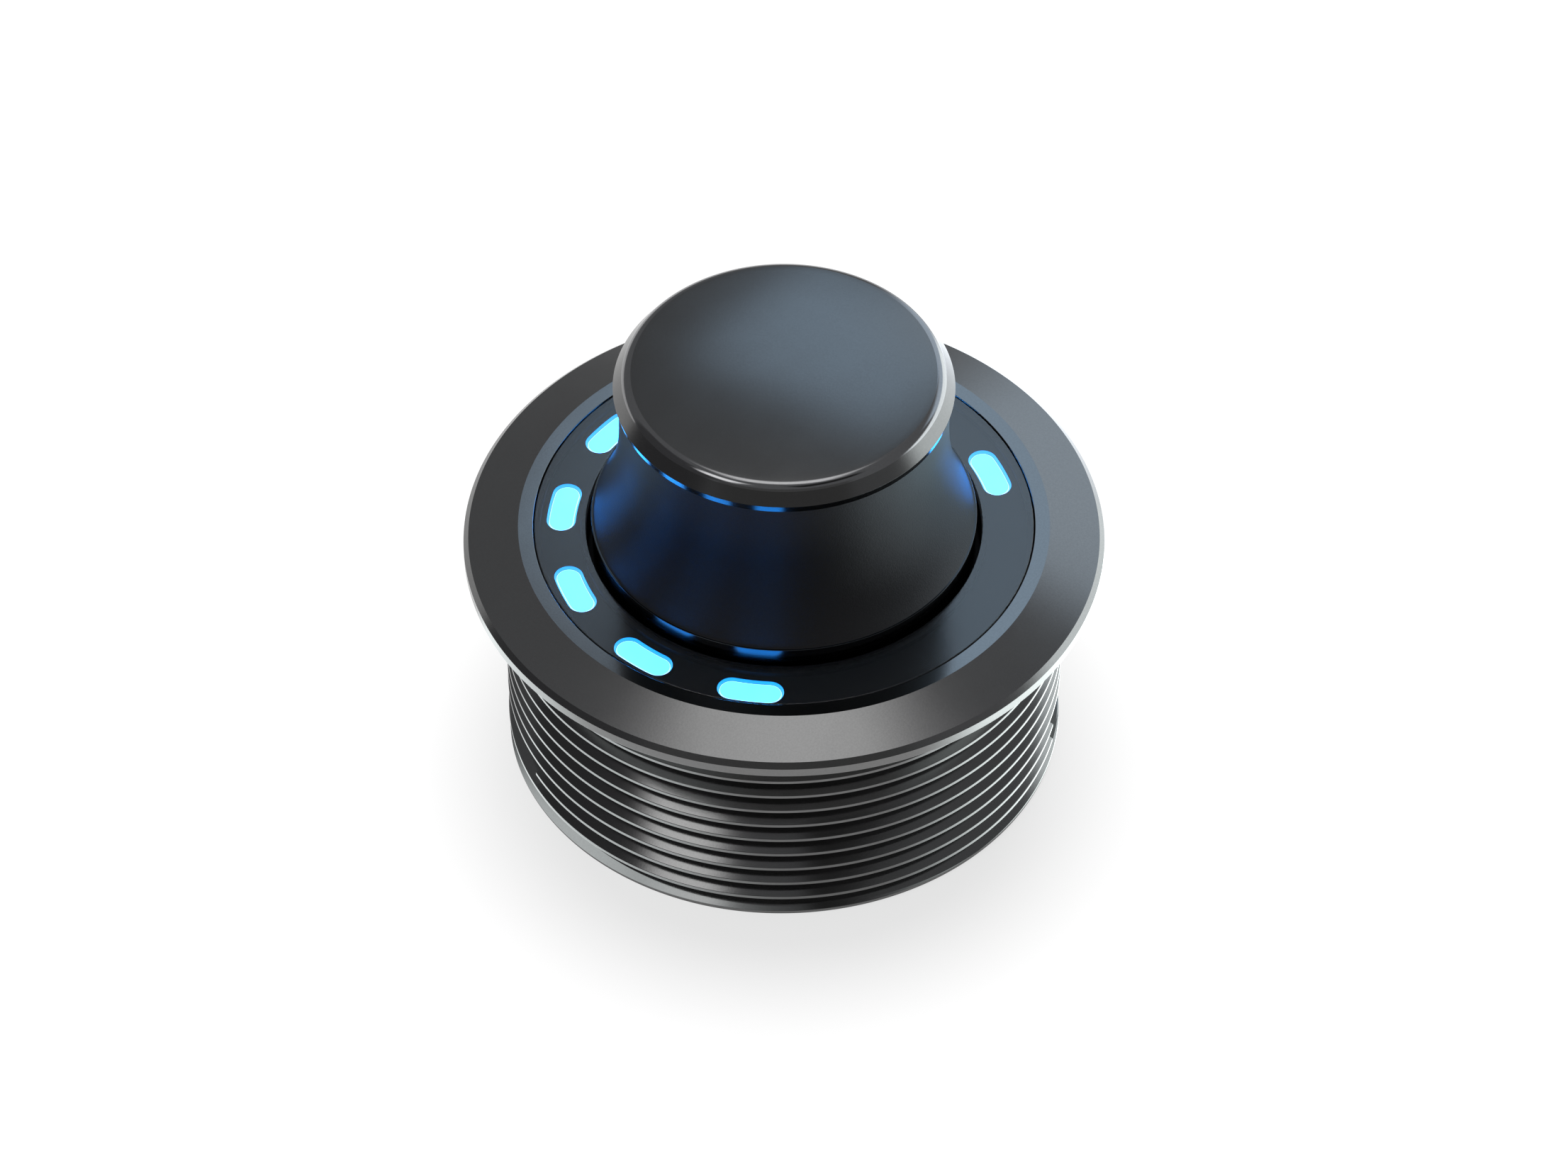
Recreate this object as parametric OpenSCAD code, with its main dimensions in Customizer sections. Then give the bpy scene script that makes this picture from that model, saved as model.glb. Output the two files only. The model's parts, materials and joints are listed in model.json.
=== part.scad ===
// Panel-mount rotary audio controller: a threaded barrel under a coned flange, a dial ring
// with lit slots, and a push-and-turn knob on a rotary encoder.
// Millimetres, +Z up. The origin is the centre of the barrel's bottom face, and -Y points at
// the middle of the dial's unlit gap.

/* [Flange] */
// Outside diameter of the flange
flange_d = 45.6; // [44:0.1:56]
// Height from the panel seat to the flat band
flange_t = 2; // [1.7:0.1:3]
// Height of the flange's vertical rim
rim_h = 0.7; // [0.4:0.05:1]
// Width of the 45 degree chamfer above the rim
rim_chamfer = 0.35; // [0.1:0.05:0.5]
// Width of the flat band around the dial
band_w = 1.06; // [0.6:0.02:1.6]
// Thickness of the shoulder that holds the dial plate down
shoulder_t = 1.5; // [1.2:0.1:1.7]
// Radial width of that shoulder
shoulder_w = 1.16; // [0.9:0.02:1.2]

/* [Barrel] */
// Nominal diameter of the thread, and of the plain collar above it
thread_d = 40; // [39.5:0.25:42]
// Pitch of the thread
thread_pitch = 1.5; // [1:0.25:1.75]
// Height at which a crest of the thread crosses the +X side
thread_start = 0.76; // [0:0.02:1.5]
// How far the crests stay under the nominal radius
crest_relief = 0.05; // [0.02:0.01:0.1]
// Height from the barrel's bottom to the panel seat
stand_h = 17.4; // [17.4:0.1:24]
// Length of the plain collar under the panel seat
collar_h = 1.5; // [1:0.1:2.5]
// Wall of the plain collar
collar_wall = 1; // [0.8:0.05:1.1]
// Wall of the barrel under the thread's root
barrel_wall = 1.78; // [1.5:0.02:2]
// Width of the ledge that carries the light board
ledge_w = 0.6; // [0.4:0.05:0.7]

/* [Windows] */
// Angle that each window spans
window_span = 41; // [20:1:60]
// Direction of the first window, from +X
window_turn = 135; // [100:1:170]
// Height of the windows' lower edge
window_z = 1.9; // [1.7:0.1:3]
// Height of the windows
window_h = 2.4; // [1.5:0.1:2.6]

/* [Dial] */
// Depth of the dial's floor under the band
dial_recess = 0.8; // [0.6:0.05:1]
// Thickness of the dial's floor
plate_t = 1.2; // [0.9:0.1:1.3]
// Thickness of the dial plate's clamped flange
plate_flange_t = 1; // [0.8:0.1:1.2]
// Thickness of the clear lens over the dial
lens_t = 0.4; // [0.3:0.05:0.5]
// How far the lens lies under the band
lens_sink = 0.03; // [0.01:0.01:0.05]
// Width of the ledges that carry the lens
lens_ledge = 0.4; // [0.3:0.05:0.45]
// Wall of the well
well_wall = 0.75; // [0.6:0.05:0.8]
// Depth of the well's floor under the band
well_depth = 3.2; // [3:0.1:3.2]
// Thickness of the well's floor
well_floor_t = 1.2; // [1:0.1:1.3]

/* [Lit slots] */
// Number of lit slots
slot_count = 9; // [1:1:10]
// Angle from one slot to the next
slot_step = 30; // [20:1:32]
// Angle that a slot spans, round ends included
slot_span = 17; // [10:0.1:18]
// Radial width of a slot
slot_w = 2.06; // [1:0.02:2.1]
// Depth of the lit face under the dial's floor
slot_recess = 0.2; // [0.1:0.05:0.6]
// Thickness of the light guide's ring
guide_t = 1; // [0.8:0.1:1.2]
// Height of the room for the lamps under the light guide
lamp_room = 1; // [0.9:0.1:1.2]

/* [Knob] */
// Diameter of the lip at the foot of the skirt
skirt_d = 27.38; // [26:0.02:27.6]
// Height of the lip over the band
lip_rise = 1; // [0.8:0.02:1.6]
// Height of the lip's edge
lip_h = 0.1; // [0.06:0.02:0.2]
// How far the foot lies inside the lip
lip_step = 0.06; // [0.04:0.02:0.2]
// Diameter of the knob's neck
neck_d = 23.2; // [22:0.1:24]
// Height of the flare from the lip to the straight neck
flare_h = 9.3; // [6:0.1:10.5]
// How sharply the flare opens towards the lip
flare_power = 2.4; // [1.6:0.1:3]
// Diameter of the disc on top
disc_d = 23.96; // [23.5:0.02:26]
// Height of the disc's undercut edge
disc_edge_h = 0.6; // [0.4:0.05:0.8]
// Inward run of the disc's undercut edge
disc_undercut = 0.16; // [0.1:0.02:0.24]
// Inward run of the disc's chamfer
disc_chamfer_w = 0.6; // [0.4:0.02:1]
// Rise of the disc's chamfer
disc_chamfer_h = 0.7; // [0.4:0.05:1]
// Rounding between the chamfer and the top, along the radius
disc_round_w = 0.45; // [0.2:0.05:0.6]
// Rounding between the chamfer and the top, along the height
disc_round_h = 0.45; // [0.2:0.05:0.6]
// Crown of the disc's top over its rounding
disc_crown = 0.85; // [0.4:0.05:1.4]
// Height of the top's rounding over the band
knob_rise = 14.74; // [14:0.02:18]
// Wall of the knob's shell
knob_wall = 1.3; // [1:0.05:1.6]
// Wall of the knob's skirt at its foot
skirt_wall = 1.04; // [0.8:0.02:1.4]
// Thickness of the knob's roof
knob_roof = 2.6; // [2:0.1:3]
// Wall of the knob's hub
hub_wall = 2; // [1.6:0.1:2.4]
// Thickness of the flange that fills the knob under its roof
hub_flange_t = 2; // [1:0.1:3]
// How far the shaft's end stays under the knob's roof
shaft_inset = 1; // [0.5:0.1:1.5]
// Number of ribs between the hub and its flange's rim
rib_count = 6; // [3:1:8]
// Thickness of a rib
rib_t = 1.2; // [0.8:0.1:1.6]
// Section of the spring ring around the hub
hub_clip_t = 0.6; // [0.4:0.05:0.8]
// Height of the spring ring over the hub's lower end
hub_clip_rise = 2.5; // [1:0.1:3]

/* [Encoder] */
// Diameter of the shaft
shaft_d = 6; // [5.5:0.05:6.2]
// Depth of the flat on the shaft
shaft_flat = 1.5; // [1:0.1:1.8]
// Diameter of the shaft's tail inside the encoder
tail_d = 4.4; // [4:0.1:4.6]
// Depth of the flat on the shaft's tail
tail_flat = 1.1; // [0.8:0.1:1.3]
// Push travel of the knob
press_travel = 0.5; // [0.3:0.05:0.6]
// Diameter of the bushing's thread
bushing_d = 9; // [8.5:0.1:9.4]
// Height of the bushing over the well's floor
bushing_h = 5; // [4:0.1:5.4]
// Radial width of the flange at the bushing's foot
bushing_flange_w = 0.8; // [0.5:0.1:1]
// Width of the encoder across its flats
encoder_w = 12.4; // [12:0.1:13]
// Height of the encoder's cup
cup_h = 5.8; // [5.8:0.1:6.2]
// Thickness of the cup's floor
cup_floor = 1.2; // [0.8:0.1:1.3]
// Thickness of the encoder's metal frame
frame_t = 0.8; // [0.6:0.05:0.9]
// Radius of the encoder's chamber
chamber_r = 5.2; // [5:0.05:5.4]
// Thickness of the rotor
rotor_t = 1.9; // [1.7:0.1:2]
// Height of the room for the detent spring over the rotor
spring_room = 1; // [0.8:0.05:1.1]
// Number of clicks in a turn
detent_count = 24; // [12:3:30]
// Radius of the notches that the detent spring drops into
detent_r = 0.4; // [0.35:0.01:0.45]
// Depth of those notches
detent_bite = 0.15; // [0.1:0.01:0.2]
// Radial width of the detent spring
spring_w = 1; // [0.8:0.05:1.1]
// Thickness of the detent spring's leaf
leaf_t = 0.2; // [0.15:0.01:0.25]
// Radial width of the struts that carry the spring's bumps
strut_w = 0.8; // [0.6:0.05:0.8]
// Radius of the switch's snap dome
dome_r = 2.8; // [2.6:0.1:3]
// Thickness of the snap dome's foot
dome_foot_t = 0.15; // [0.1:0.01:0.2]
// Gap around the snap dome
dome_play = 0.4; // [0.2:0.1:0.5]
// Thickness of the ring on the shaft
shaft_clip_t = 0.5; // [0.4:0.05:0.5]
// Radial width of the ring on the shaft
shaft_clip_w = 1.6; // [1.2:0.1:1.7]
// How deep that ring sits in its groove
clip_bite = 0.4; // [0.2:0.05:0.5]
// Width across the flats of the nut
nut_af = 12; // [11:0.5:13]
// Height of the nut
nut_h = 2; // [1.5:0.1:2.4]
// Diameter of the washer
washer_d = 12.6; // [12:0.1:14]
// Thickness of the washer
washer_t = 0.5; // [0.3:0.05:0.6]
// Distance between the terminals
terminal_pitch = 2.5; // [2:0.1:3]
// Width of a terminal
terminal_w = 0.8; // [0.6:0.05:1]
// How far the terminals stand out under the main board
terminal_tail = 1.2; // [0.8:0.1:1.5]

/* [Boards] */
// Thickness of the main board
main_board_t = 1.6; // [1:0.1:1.6]
// Thickness of the light board
led_board_t = 1; // [0.8:0.1:1]
// Length of a lamp, along the ring
led_l = 2.4; // [1.6:0.1:3]
// Width of a lamp, along the radius
led_w = 1.6; // [1:0.1:1.8]
// Height of a lamp
led_h = 0.8; // [0.5:0.05:0.85]
// Width of the controller chip
chip_w = 7; // [5:0.5:8]
// Height of the controller chip
chip_h = 1.2; // [0.8:0.1:1.6]
// Length of a small part beside the encoder
passive_l = 2; // [1:0.1:2.2]
// Width of a small part
passive_w = 1.2; // [0.6:0.1:1.3]
// Height of a small part
passive_h = 0.6; // [0.3:0.1:1]
// Distance of the standoffs from the axis
standoff_at = 11.5; // [11:0.1:12]
// Width across the flats of a standoff
standoff_af = 4; // [3.6:0.1:4.4]
// Diameter of the board screws' thread
screw_d = 2; // [1.6:0.1:2.2]
// Length of the board screws under their head
screw_l = 5; // [4:0.1:6]
// Diameter of the board screws' heads
screw_head_d = 3.8; // [3.4:0.1:4]
// Height of the board screws' heads
screw_head_h = 1.2; // [0.8:0.1:1.5]
// Number of pins between the boards
link_pins = 4; // [2:1:6]
// Distance between those pins
link_pitch = 1.5; // [1.2:0.1:1.6]
// Width of a pin
link_pin_w = 0.6; // [0.4:0.05:0.7]
// Depth of the strip that holds the pins
link_strip_w = 1.4; // [1:0.1:1.6]
// Height of the strip that holds the pins
link_strip_h = 2.5; // [2:0.1:4]

/* [Rear] */
// How far the rear cover sits inside the barrel's bottom
cover_inset = 0.2; // [0.1:0.05:0.3]
// Thickness of the rear cover
cover_t = 1.2; // [1:0.1:1.4]
// Thickness of the cover's snap tongues
tongue_t = 1.1; // [0.8:0.1:1.4]
// How far the tongues reach over the windows
tongue_rise = 0.4; // [0.2:0.1:0.8]
// Angle by which a tongue is narrower than its window
tongue_ease = 4; // [2:0.5:6]
// How far the hooks stay under the thread's root
hook_sink = 0.3; // [0.2:0.05:0.6]
// Play of a hook in its window
hook_play = 0.15; // [0.1:0.05:0.2]
// Diameter of the jack's bore
jack_bore_d = 3.6; // [3.55:0.05:3.7]
// Gap between the jack and the floor of the well
jack_play = 0.3; // [0.2:0.05:1.3]
// Distance of the jack from the axis, along +Y
jack_at = 11; // [10.8:0.1:11.2]
// Diameter of the jack's nose
jack_nose_d = 5.6; // [5.2:0.1:6]
// Width of the jack's body under the main board
jack_w = 8; // [7:0.1:8]
// Width of the jack's body over the main board
jack_top_w = 6; // [5.2:0.1:6]
// Wall over the end of the jack's bore
jack_roof = 0.5; // [0.4:0.05:0.6]

/* [Clearances] */
// Gap between the knob's skirt and the well
skirt_play = 0.35; // [0.3:0.05:0.5]
// Gap around the dial plate
plate_gap = 0.1; // [0.05:0.01:0.15]
// Running fit of the shaft, on the radius
running_fit = 0.05; // [0.02:0.01:0.1]
// Slip fit of pieces that are put together, on the radius
slip_fit = 0.05; // [0.02:0.01:0.1]
// Gap between the boards and the barrel
board_gap = 0.2; // [0.1:0.05:0.3]
// Room left under a moving piece at the end of its travel
travel_room = 0.3; // [0.2:0.05:0.4]

/* [Hidden] */
$fn = 96;
cut = 1;
// Depth and crest of a metric thread for a pitch of 1, and the angle of its flanks
metric_depth = 0.6134;
metric_crest = 0.2;
metric_flank = 30;

seat_z = stand_h;
band_z = seat_z + flange_t;
shoulder_z = band_z - shoulder_t;
barrel_h = seat_z - collar_h;

flange_r = flange_d / 2;
thread_r = thread_d / 2;
thread_depth = metric_depth * thread_pitch;
crest_r = thread_r - crest_relief;
root_r = crest_r - thread_depth + crest_relief;
crest_flat = metric_crest * thread_pitch;
flank_run = thread_depth * tan(metric_flank);
thread_sides = 40;

collar_in_r = thread_r - collar_wall;
dial_r = collar_in_r - shoulder_w;
collar_neck_r = collar_in_r - slip_fit;
bore_r = root_r - barrel_wall;
upper_bore_r = bore_r + ledge_w;

rim_r = dial_r - plate_gap;
plate_flange_r = collar_in_r - plate_gap;
plate_z = band_z - dial_recess;
plate_under_z = plate_z - plate_t;
clamp_z = shoulder_z - plate_flange_t;
skirt_r = skirt_d / 2;
well_r = skirt_r + skirt_play;
well_out_r = well_r + well_wall;
lens_in_r = well_r + slip_fit;
lens_z = band_z - lens_sink - lens_t;
floor_z = band_z - well_depth;
floor_under_z = floor_z - well_floor_t;

slot_r = (well_r + rim_r) / 2;
slot_first = 270 - slot_step * (slot_count - 1) / 2 + 180;
slot_end_turn = asin(slot_w / 2 / slot_r);
guide_in_r = well_out_r + slip_fit;
guide_out_r = upper_bore_r - plate_gap;
guide_z = plate_under_z - guide_t;
lit_z = plate_z - slot_recess;
led_board_top = guide_z - lamp_room;
ledge_z = led_board_top - led_board_t;

frame_z = floor_under_z - frame_t;
board_top = frame_z - cup_h;
board_under = board_top - main_board_t;
board_r = bore_r - board_gap;
standoff_turns = [30, 150, 270];
detent_bumps = 3;

spring_z = frame_z - spring_room;
rotor_z = spring_z - rotor_t;
rotor_r = chamber_r - board_gap;
tail_r = tail_d / 2;
shaft_r = shaft_d / 2;
bushing_r = bushing_d / 2;
bushing_flange_r = bushing_r + bushing_flange_w;
bushing_top = floor_z + bushing_h;
dome_z = board_top + cup_floor;
dome_h = rotor_z - dome_z - travel_room;
switch_r = dome_r + dome_play;
tail_z = dome_z + dome_h + slip_fit;
clip_top = frame_z - slip_fit;
groove_r = tail_r - clip_bite;
clip_r = groove_r + shaft_clip_w;

knob_foot_z = floor_z + press_travel + travel_room;
lip_z = band_z + lip_rise;
flare_z = lip_z + lip_h;
knob_top = band_z + knob_rise;
neck_r = neck_d / 2;
disc_r = disc_d / 2;
disc_z = knob_top - disc_round_h - disc_chamfer_h - disc_edge_h;
foot_r = skirt_r - lip_step;
knob_in_r = neck_r - knob_wall;
roof_z = knob_top - knob_roof;
hub_r = shaft_r + hub_wall;
hub_z = bushing_top + press_travel + travel_room;
hub_clip_z = hub_z + hub_clip_rise;
shaft_top = roof_z - shaft_inset;

cover_r = bore_r - plate_gap;
cover_top = cover_inset + cover_t;
tongue_top = window_z + window_h + tongue_rise;
hook_r = root_r - hook_sink;
jack_top = floor_under_z - jack_play;
jack_depth = jack_top - jack_roof - cover_inset;
link_r = guide_in_r + link_strip_w / 2 + slip_fit;

black = [0.05, 0.05, 0.06];
anodised = [0.16, 0.165, 0.175];
satin_black = [0.08, 0.085, 0.1];
smoke = [0.1, 0.11, 0.13, 0.5];
cyan = [0.4, 0.97, 1];
board_green = [0.05, 0.2, 0.12];
steel = [0.62, 0.63, 0.65];
brass = [0.72, 0.58, 0.3];

// Points of an elliptic arc, from one angle to another
function arc(centre, size, from, to, steps = 8) = [
    for (i = [0:steps])
        let (turn = from + (to - from) * i / steps)
            [centre[0] + size[0] * cos(turn), centre[1] + size[1] * sin(turn)]
];

// Tube standing on z
module tube(outer, inner, z, h) {
    translate([0, 0, z])
        difference() {
            cylinder(r = outer, h = h);
            translate([0, 0, -cut])
                cylinder(r = inner, h = h + 2 * cut);
        }
}

// Disc standing on z
module disc(radius, z, h) {
    translate([0, 0, z])
        cylinder(r = radius, h = h);
}

// Block centred on [x, y], standing on z
module block(x, y, z, size) {
    translate([x - size[0] / 2, y - size[1] / 2, z])
        cube(size);
}

// Hexagonal prism standing on z, with flats a given width apart
module hexagon(across_flats, z, h) {
    translate([0, 0, z])
        cylinder(r = across_flats / 2 / cos(30), h = h, $fn = 6);
}

// Part of a ring, centred on a direction
module ring_part(inner, outer, z, h, turn, span) {
    rotate([0, 0, turn - span / 2])
        rotate_extrude(angle = span)
            translate([inner, z])
                square([outer - inner, h]);
}

// Round bar with a flat on its +X side
module flat_bar(radius, flat, z, h) {
    difference() {
        disc(radius, z, h);
        translate([radius - flat, -radius - cut, z - cut])
            cube([flat + cut, 2 * (radius + cut), h + 2 * cut]);
    }
}

// Copies at the standoffs
module at_standoffs() {
    for (turn = standoff_turns)
        rotate([0, 0, turn])
            translate([standoff_at, 0, 0])
                children();
}

// Directions of the lit slots
module at_slots() {
    for (i = [0:slot_count - 1])
        rotate([0, 0, slot_first + i * slot_step])
            children();
}

// A curved slot with round ends, on the +X side, drawn in by a margin
module slot_bar(margin, z, h) {
    half = slot_w / 2 - margin;
    turn = slot_span / 2 - slot_end_turn;
    ring_part(slot_r - half, slot_r + half, z, h, 0, 2 * turn);
    for (side = [-1, 1])
        rotate([0, 0, side * turn])
            translate([slot_r, 0, 0])
                disc(half, z, h);
}

// Solid screw that reaches past both ends of the barrel
module thread_rod() {
    turns = ceil(barrel_h / thread_pitch) + 4;
    rows = 4 * turns;
    crest = crest_flat / 2;
    outline = [
        [crest_r, -crest],
        [crest_r, crest],
        [root_r, crest + flank_run],
        [root_r, thread_pitch - crest - flank_run]
    ];
    low = thread_start - 2 * thread_pitch;
    wall = [
        for (side = [0:thread_sides - 1], row = [0:rows - 1])
            let (
                turn = 360 * side / thread_sides,
                spot = outline[row % 4],
                lift = thread_pitch * (floor(row / 4) + side / thread_sides)
            )
                [spot[0] * cos(turn), spot[0] * sin(turn), low + lift + spot[1]]
    ];
    foot = len(wall);
    head = foot + 1;
    ends = [[0, 0, low], [0, 0, low + thread_pitch * turns]];
    last = (thread_sides - 1) * rows;
    strips = [
        for (side = [0:thread_sides - 2], row = [0:rows - 2])
            let (a = side * rows + row, b = a + rows)
                each [[a, b + 1, b], [a, a + 1, b + 1]]
    ];
    seam = [
        for (row = [0:rows - 6])
            each [[last + row, row + 5, row + 4], [last + row, last + row + 1, row + 5]]
    ];
    foot_rim = [
        for (side = [0:thread_sides - 1]) side * rows,
        for (row = [4:-1:0]) row
    ];
    head_rim = [
        for (side = [0:thread_sides - 1]) side * rows + rows - 1,
        for (row = [rows - 2:-1:rows - 5]) last + row,
        rows - 1
    ];
    foot_fan = [for (i = [0:len(foot_rim) - 2]) [foot, foot_rim[i], foot_rim[i + 1]]];
    head_fan = [for (i = [0:len(head_rim) - 2]) [head, head_rim[i + 1], head_rim[i]]];
    polyhedron(concat(wall, ends), concat(strips, seam, foot_fan, head_fan), convexity = 10);
}

module flange_bezel() {
    color(anodised)
        rotate_extrude()
            polygon([
                [dial_r, shoulder_z],
                [dial_r, band_z],
                [dial_r + band_w, band_z],
                [flange_r - rim_chamfer, seat_z + rim_h + rim_chamfer],
                [flange_r, seat_z + rim_h],
                [flange_r, seat_z],
                [thread_r, seat_z],
                [thread_r, barrel_h],
                [collar_in_r, barrel_h],
                [collar_in_r, shoulder_z]
            ]);
}

module threaded_barrel() {
    color(black)
        difference() {
            union() {
                intersection() {
                    thread_rod();
                    disc(thread_r + cut, 0, barrel_h);
                }
                disc(collar_neck_r, barrel_h - cut, clamp_z - barrel_h + cut);
            }
            disc(bore_r, -cut, ledge_z + 2 * cut);
            disc(upper_bore_r, ledge_z, clamp_z - ledge_z + cut);
            for (side = [0, 180])
                ring_part(bore_r - cut, thread_r + cut, window_z, window_h, window_turn + side, window_span);
        }
}

module dial_plate() {
    bushing_hole_r = bushing_r + slip_fit;
    color(satin_black)
        difference() {
            rotate_extrude()
                polygon([
                    [bushing_hole_r, floor_under_z],
                    [bushing_hole_r, floor_z],
                    [well_r, floor_z],
                    [well_r, lens_z],
                    [well_r + lens_ledge, lens_z],
                    [well_r + lens_ledge, plate_z],
                    [rim_r - lens_ledge, plate_z],
                    [rim_r - lens_ledge, lens_z],
                    [rim_r, lens_z],
                    [rim_r, shoulder_z],
                    [plate_flange_r, shoulder_z],
                    [plate_flange_r, clamp_z],
                    [upper_bore_r, clamp_z],
                    [upper_bore_r, plate_under_z],
                    [well_out_r, plate_under_z],
                    [well_out_r, floor_under_z]
                ]);
            at_slots()
                slot_bar(0, plate_under_z - cut, plate_t + 2 * cut);
        }
}

module dial_lens() {
    color(smoke)
        tube(rim_r, lens_in_r, lens_z, lens_t);
}

module light_guide() {
    color(cyan)
        union() {
            tube(guide_out_r, guide_in_r, guide_z, guide_t);
            tube(guide_out_r, upper_bore_r - ledge_w, led_board_top, lamp_room + guide_t / 2);
            at_slots()
                slot_bar(slip_fit, guide_z + guide_t / 2, lit_z - guide_z - guide_t / 2);
        }
}

module rear_cover() {
    tongue_out = cover_r - slip_fit;
    tongue_in = tongue_out - tongue_t;
    tongue_span = window_span - tongue_ease;
    hook_foot = window_z + hook_play;
    hook_head = window_z + window_h - hook_play;
    color(black)
        difference() {
            union() {
                disc(cover_r, cover_inset, cover_t);
                for (side = [0, 180])
                    rotate([0, 0, window_turn + side - tongue_span / 2])
                        rotate_extrude(angle = tongue_span)
                            polygon([
                                [tongue_in, cover_inset + cover_t / 2],
                                [tongue_out, cover_inset + cover_t / 2],
                                [tongue_out, hook_foot],
                                [hook_r, hook_foot],
                                [hook_r, hook_head],
                                [tongue_out, hook_head],
                                [tongue_out, tongue_top],
                                [tongue_in, tongue_top]
                            ]);
            }
            translate([0, jack_at, 0])
                disc(jack_nose_d / 2 + slip_fit, -cut, cover_top + 2 * cut);
        }
}

module led_board() {
    color(board_green)
        tube(guide_out_r, guide_in_r, ledge_z, led_board_t);
}

module led_chips() {
    color("white")
        at_slots()
            block(slot_r, 0, led_board_top, [led_w, led_l, led_h]);
}

module main_board() {
    jack_hole = jack_top_w + 2 * board_gap;
    color(board_green)
        difference() {
            disc(board_r, board_under, main_board_t);
            block(0, jack_at, board_under - cut, [jack_hole, jack_hole, main_board_t + 2 * cut]);
            at_standoffs()
                disc(screw_d / 2 + slip_fit, board_under - cut, main_board_t + 2 * cut);
            at_terminals()
                block(0, 0, board_under - cut, [
                    terminal_w + 2 * slip_fit, terminal_w + 2 * slip_fit, main_board_t + 2 * cut
                ]);
        }
}

module board_link() {
    color("dimgray")
        translate([0, -link_r, 0]) {
            block(0, 0, board_top, [link_pins * link_pitch, link_strip_w, link_strip_h]);
            for (i = [0:link_pins - 1])
                block(
                    (i - (link_pins - 1) / 2) * link_pitch, 0, board_top,
                    [link_pin_w, link_pin_w, ledge_z - board_top]
                );
        }
}

module controller_chip() {
    color(black)
        block(0, -chip_w / 2 - terminal_tail, board_under - chip_h, [chip_w, chip_w, chip_h]);
}

module board_passives() {
    size = [passive_l, passive_w, passive_h];
    color("tan")
        for (row = [-1:1])
            block(encoder_w / 2 + passive_l, row * 2 * passive_w, board_under - passive_h, size);
}

module board_standoffs() {
    color(brass)
        at_standoffs()
            difference() {
                hexagon(standoff_af, board_top, floor_under_z - board_top);
                disc(screw_d / 2 + slip_fit, board_top - cut, screw_l - main_board_t + travel_room + cut);
            }
}

module board_screws() {
    color(steel)
        at_standoffs() {
            disc(screw_head_d / 2, board_under - screw_head_h, screw_head_h);
            disc(screw_d / 2, board_under - screw_head_h / 2, screw_l + screw_head_h / 2);
        }
}

module remote_jack() {
    nose_shoulder = cover_top + travel_room;
    color("dimgray")
        translate([0, jack_at, 0])
            difference() {
                union() {
                    disc(jack_nose_d / 2, cover_inset, board_under - cover_inset);
                    block(0, 0, nose_shoulder, [jack_w, jack_w, board_under - nose_shoulder]);
                    block(0, 0, board_under - cut, [jack_top_w, jack_top_w, jack_top - board_under + cut]);
                }
                disc(jack_bore_d / 2, cover_inset - cut, jack_depth + cut);
            }
}

// Places of the encoder's terminals: contacts along one side, switch along the other
module at_terminals() {
    side = encoder_w / 2 - terminal_w;
    for (spot = [[-1, -1], [0, -1], [1, -1], [-1, 1], [1, 1]])
        translate([spot[1] * side, spot[0] * terminal_pitch, 0])
            children();
}

module encoder_cup() {
    color(black)
        difference() {
            block(0, 0, board_top, [encoder_w, encoder_w, cup_h]);
            disc(chamber_r, rotor_z - slip_fit, cup_h);
            disc(switch_r, dome_z, cup_h);
        }
}

module encoder_frame() {
    color(steel)
        difference() {
            block(0, 0, frame_z, [encoder_w, encoder_w, frame_t]);
            disc(bushing_flange_r + slip_fit, frame_z + frame_t / 2, frame_t);
            disc(bushing_r + slip_fit, frame_z - cut, frame_t + 2 * cut);
        }
}

module encoder_bushing() {
    color(brass)
        difference() {
            union() {
                disc(bushing_r, frame_z, bushing_top - frame_z);
                disc(bushing_flange_r, frame_z + frame_t / 2, frame_t / 2);
            }
            disc(shaft_r + running_fit, frame_z - cut, bushing_top - frame_z + 2 * cut);
        }
}

module encoder_washer() {
    color(steel)
        tube(washer_d / 2, bushing_r + slip_fit, floor_z, washer_t);
}

module encoder_nut() {
    color(steel)
        difference() {
            hexagon(nut_af, floor_z + washer_t, nut_h);
            disc(bushing_r + slip_fit, floor_z, washer_t + nut_h + cut);
        }
}

module encoder_terminals() {
    color(steel)
        at_terminals()
            block(0, 0, board_under - terminal_tail, [
                terminal_w, terminal_w, main_board_t + terminal_tail
            ]);
}

// Round bar along the radius, over the rotor's rim, that shapes a notch or a bump
module detent_bar(radius) {
    translate([rotor_r - spring_w, 0, spring_z + detent_r - detent_bite])
        rotate([0, 90, 0])
            cylinder(r = radius, h = spring_w);
}

module detent_spring() {
    bump_r = detent_r - slip_fit;
    color(steel)
        union() {
            tube(rotor_r, rotor_r - spring_w, frame_z - leaf_t, leaf_t);
            for (i = [0:detent_bumps - 1])
                rotate([0, 0, i * 360 / detent_bumps]) {
                    detent_bar(bump_r);
                    block(
                        rotor_r - spring_w / 2, 0, spring_z + detent_r - detent_bite,
                        [strut_w, bump_r, spring_room - detent_r + detent_bite - leaf_t / 2]
                    );
                }
        }
}

module switch_dome() {
    color(steel)
        rotate_extrude()
            polygon(concat(
                [[0, dome_z], [dome_r, dome_z], [dome_r, dome_z + dome_foot_t]],
                arc([0, dome_z + dome_foot_t], [dome_r - dome_foot_t, dome_h - dome_foot_t], 0, 90)
            ));
}

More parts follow.
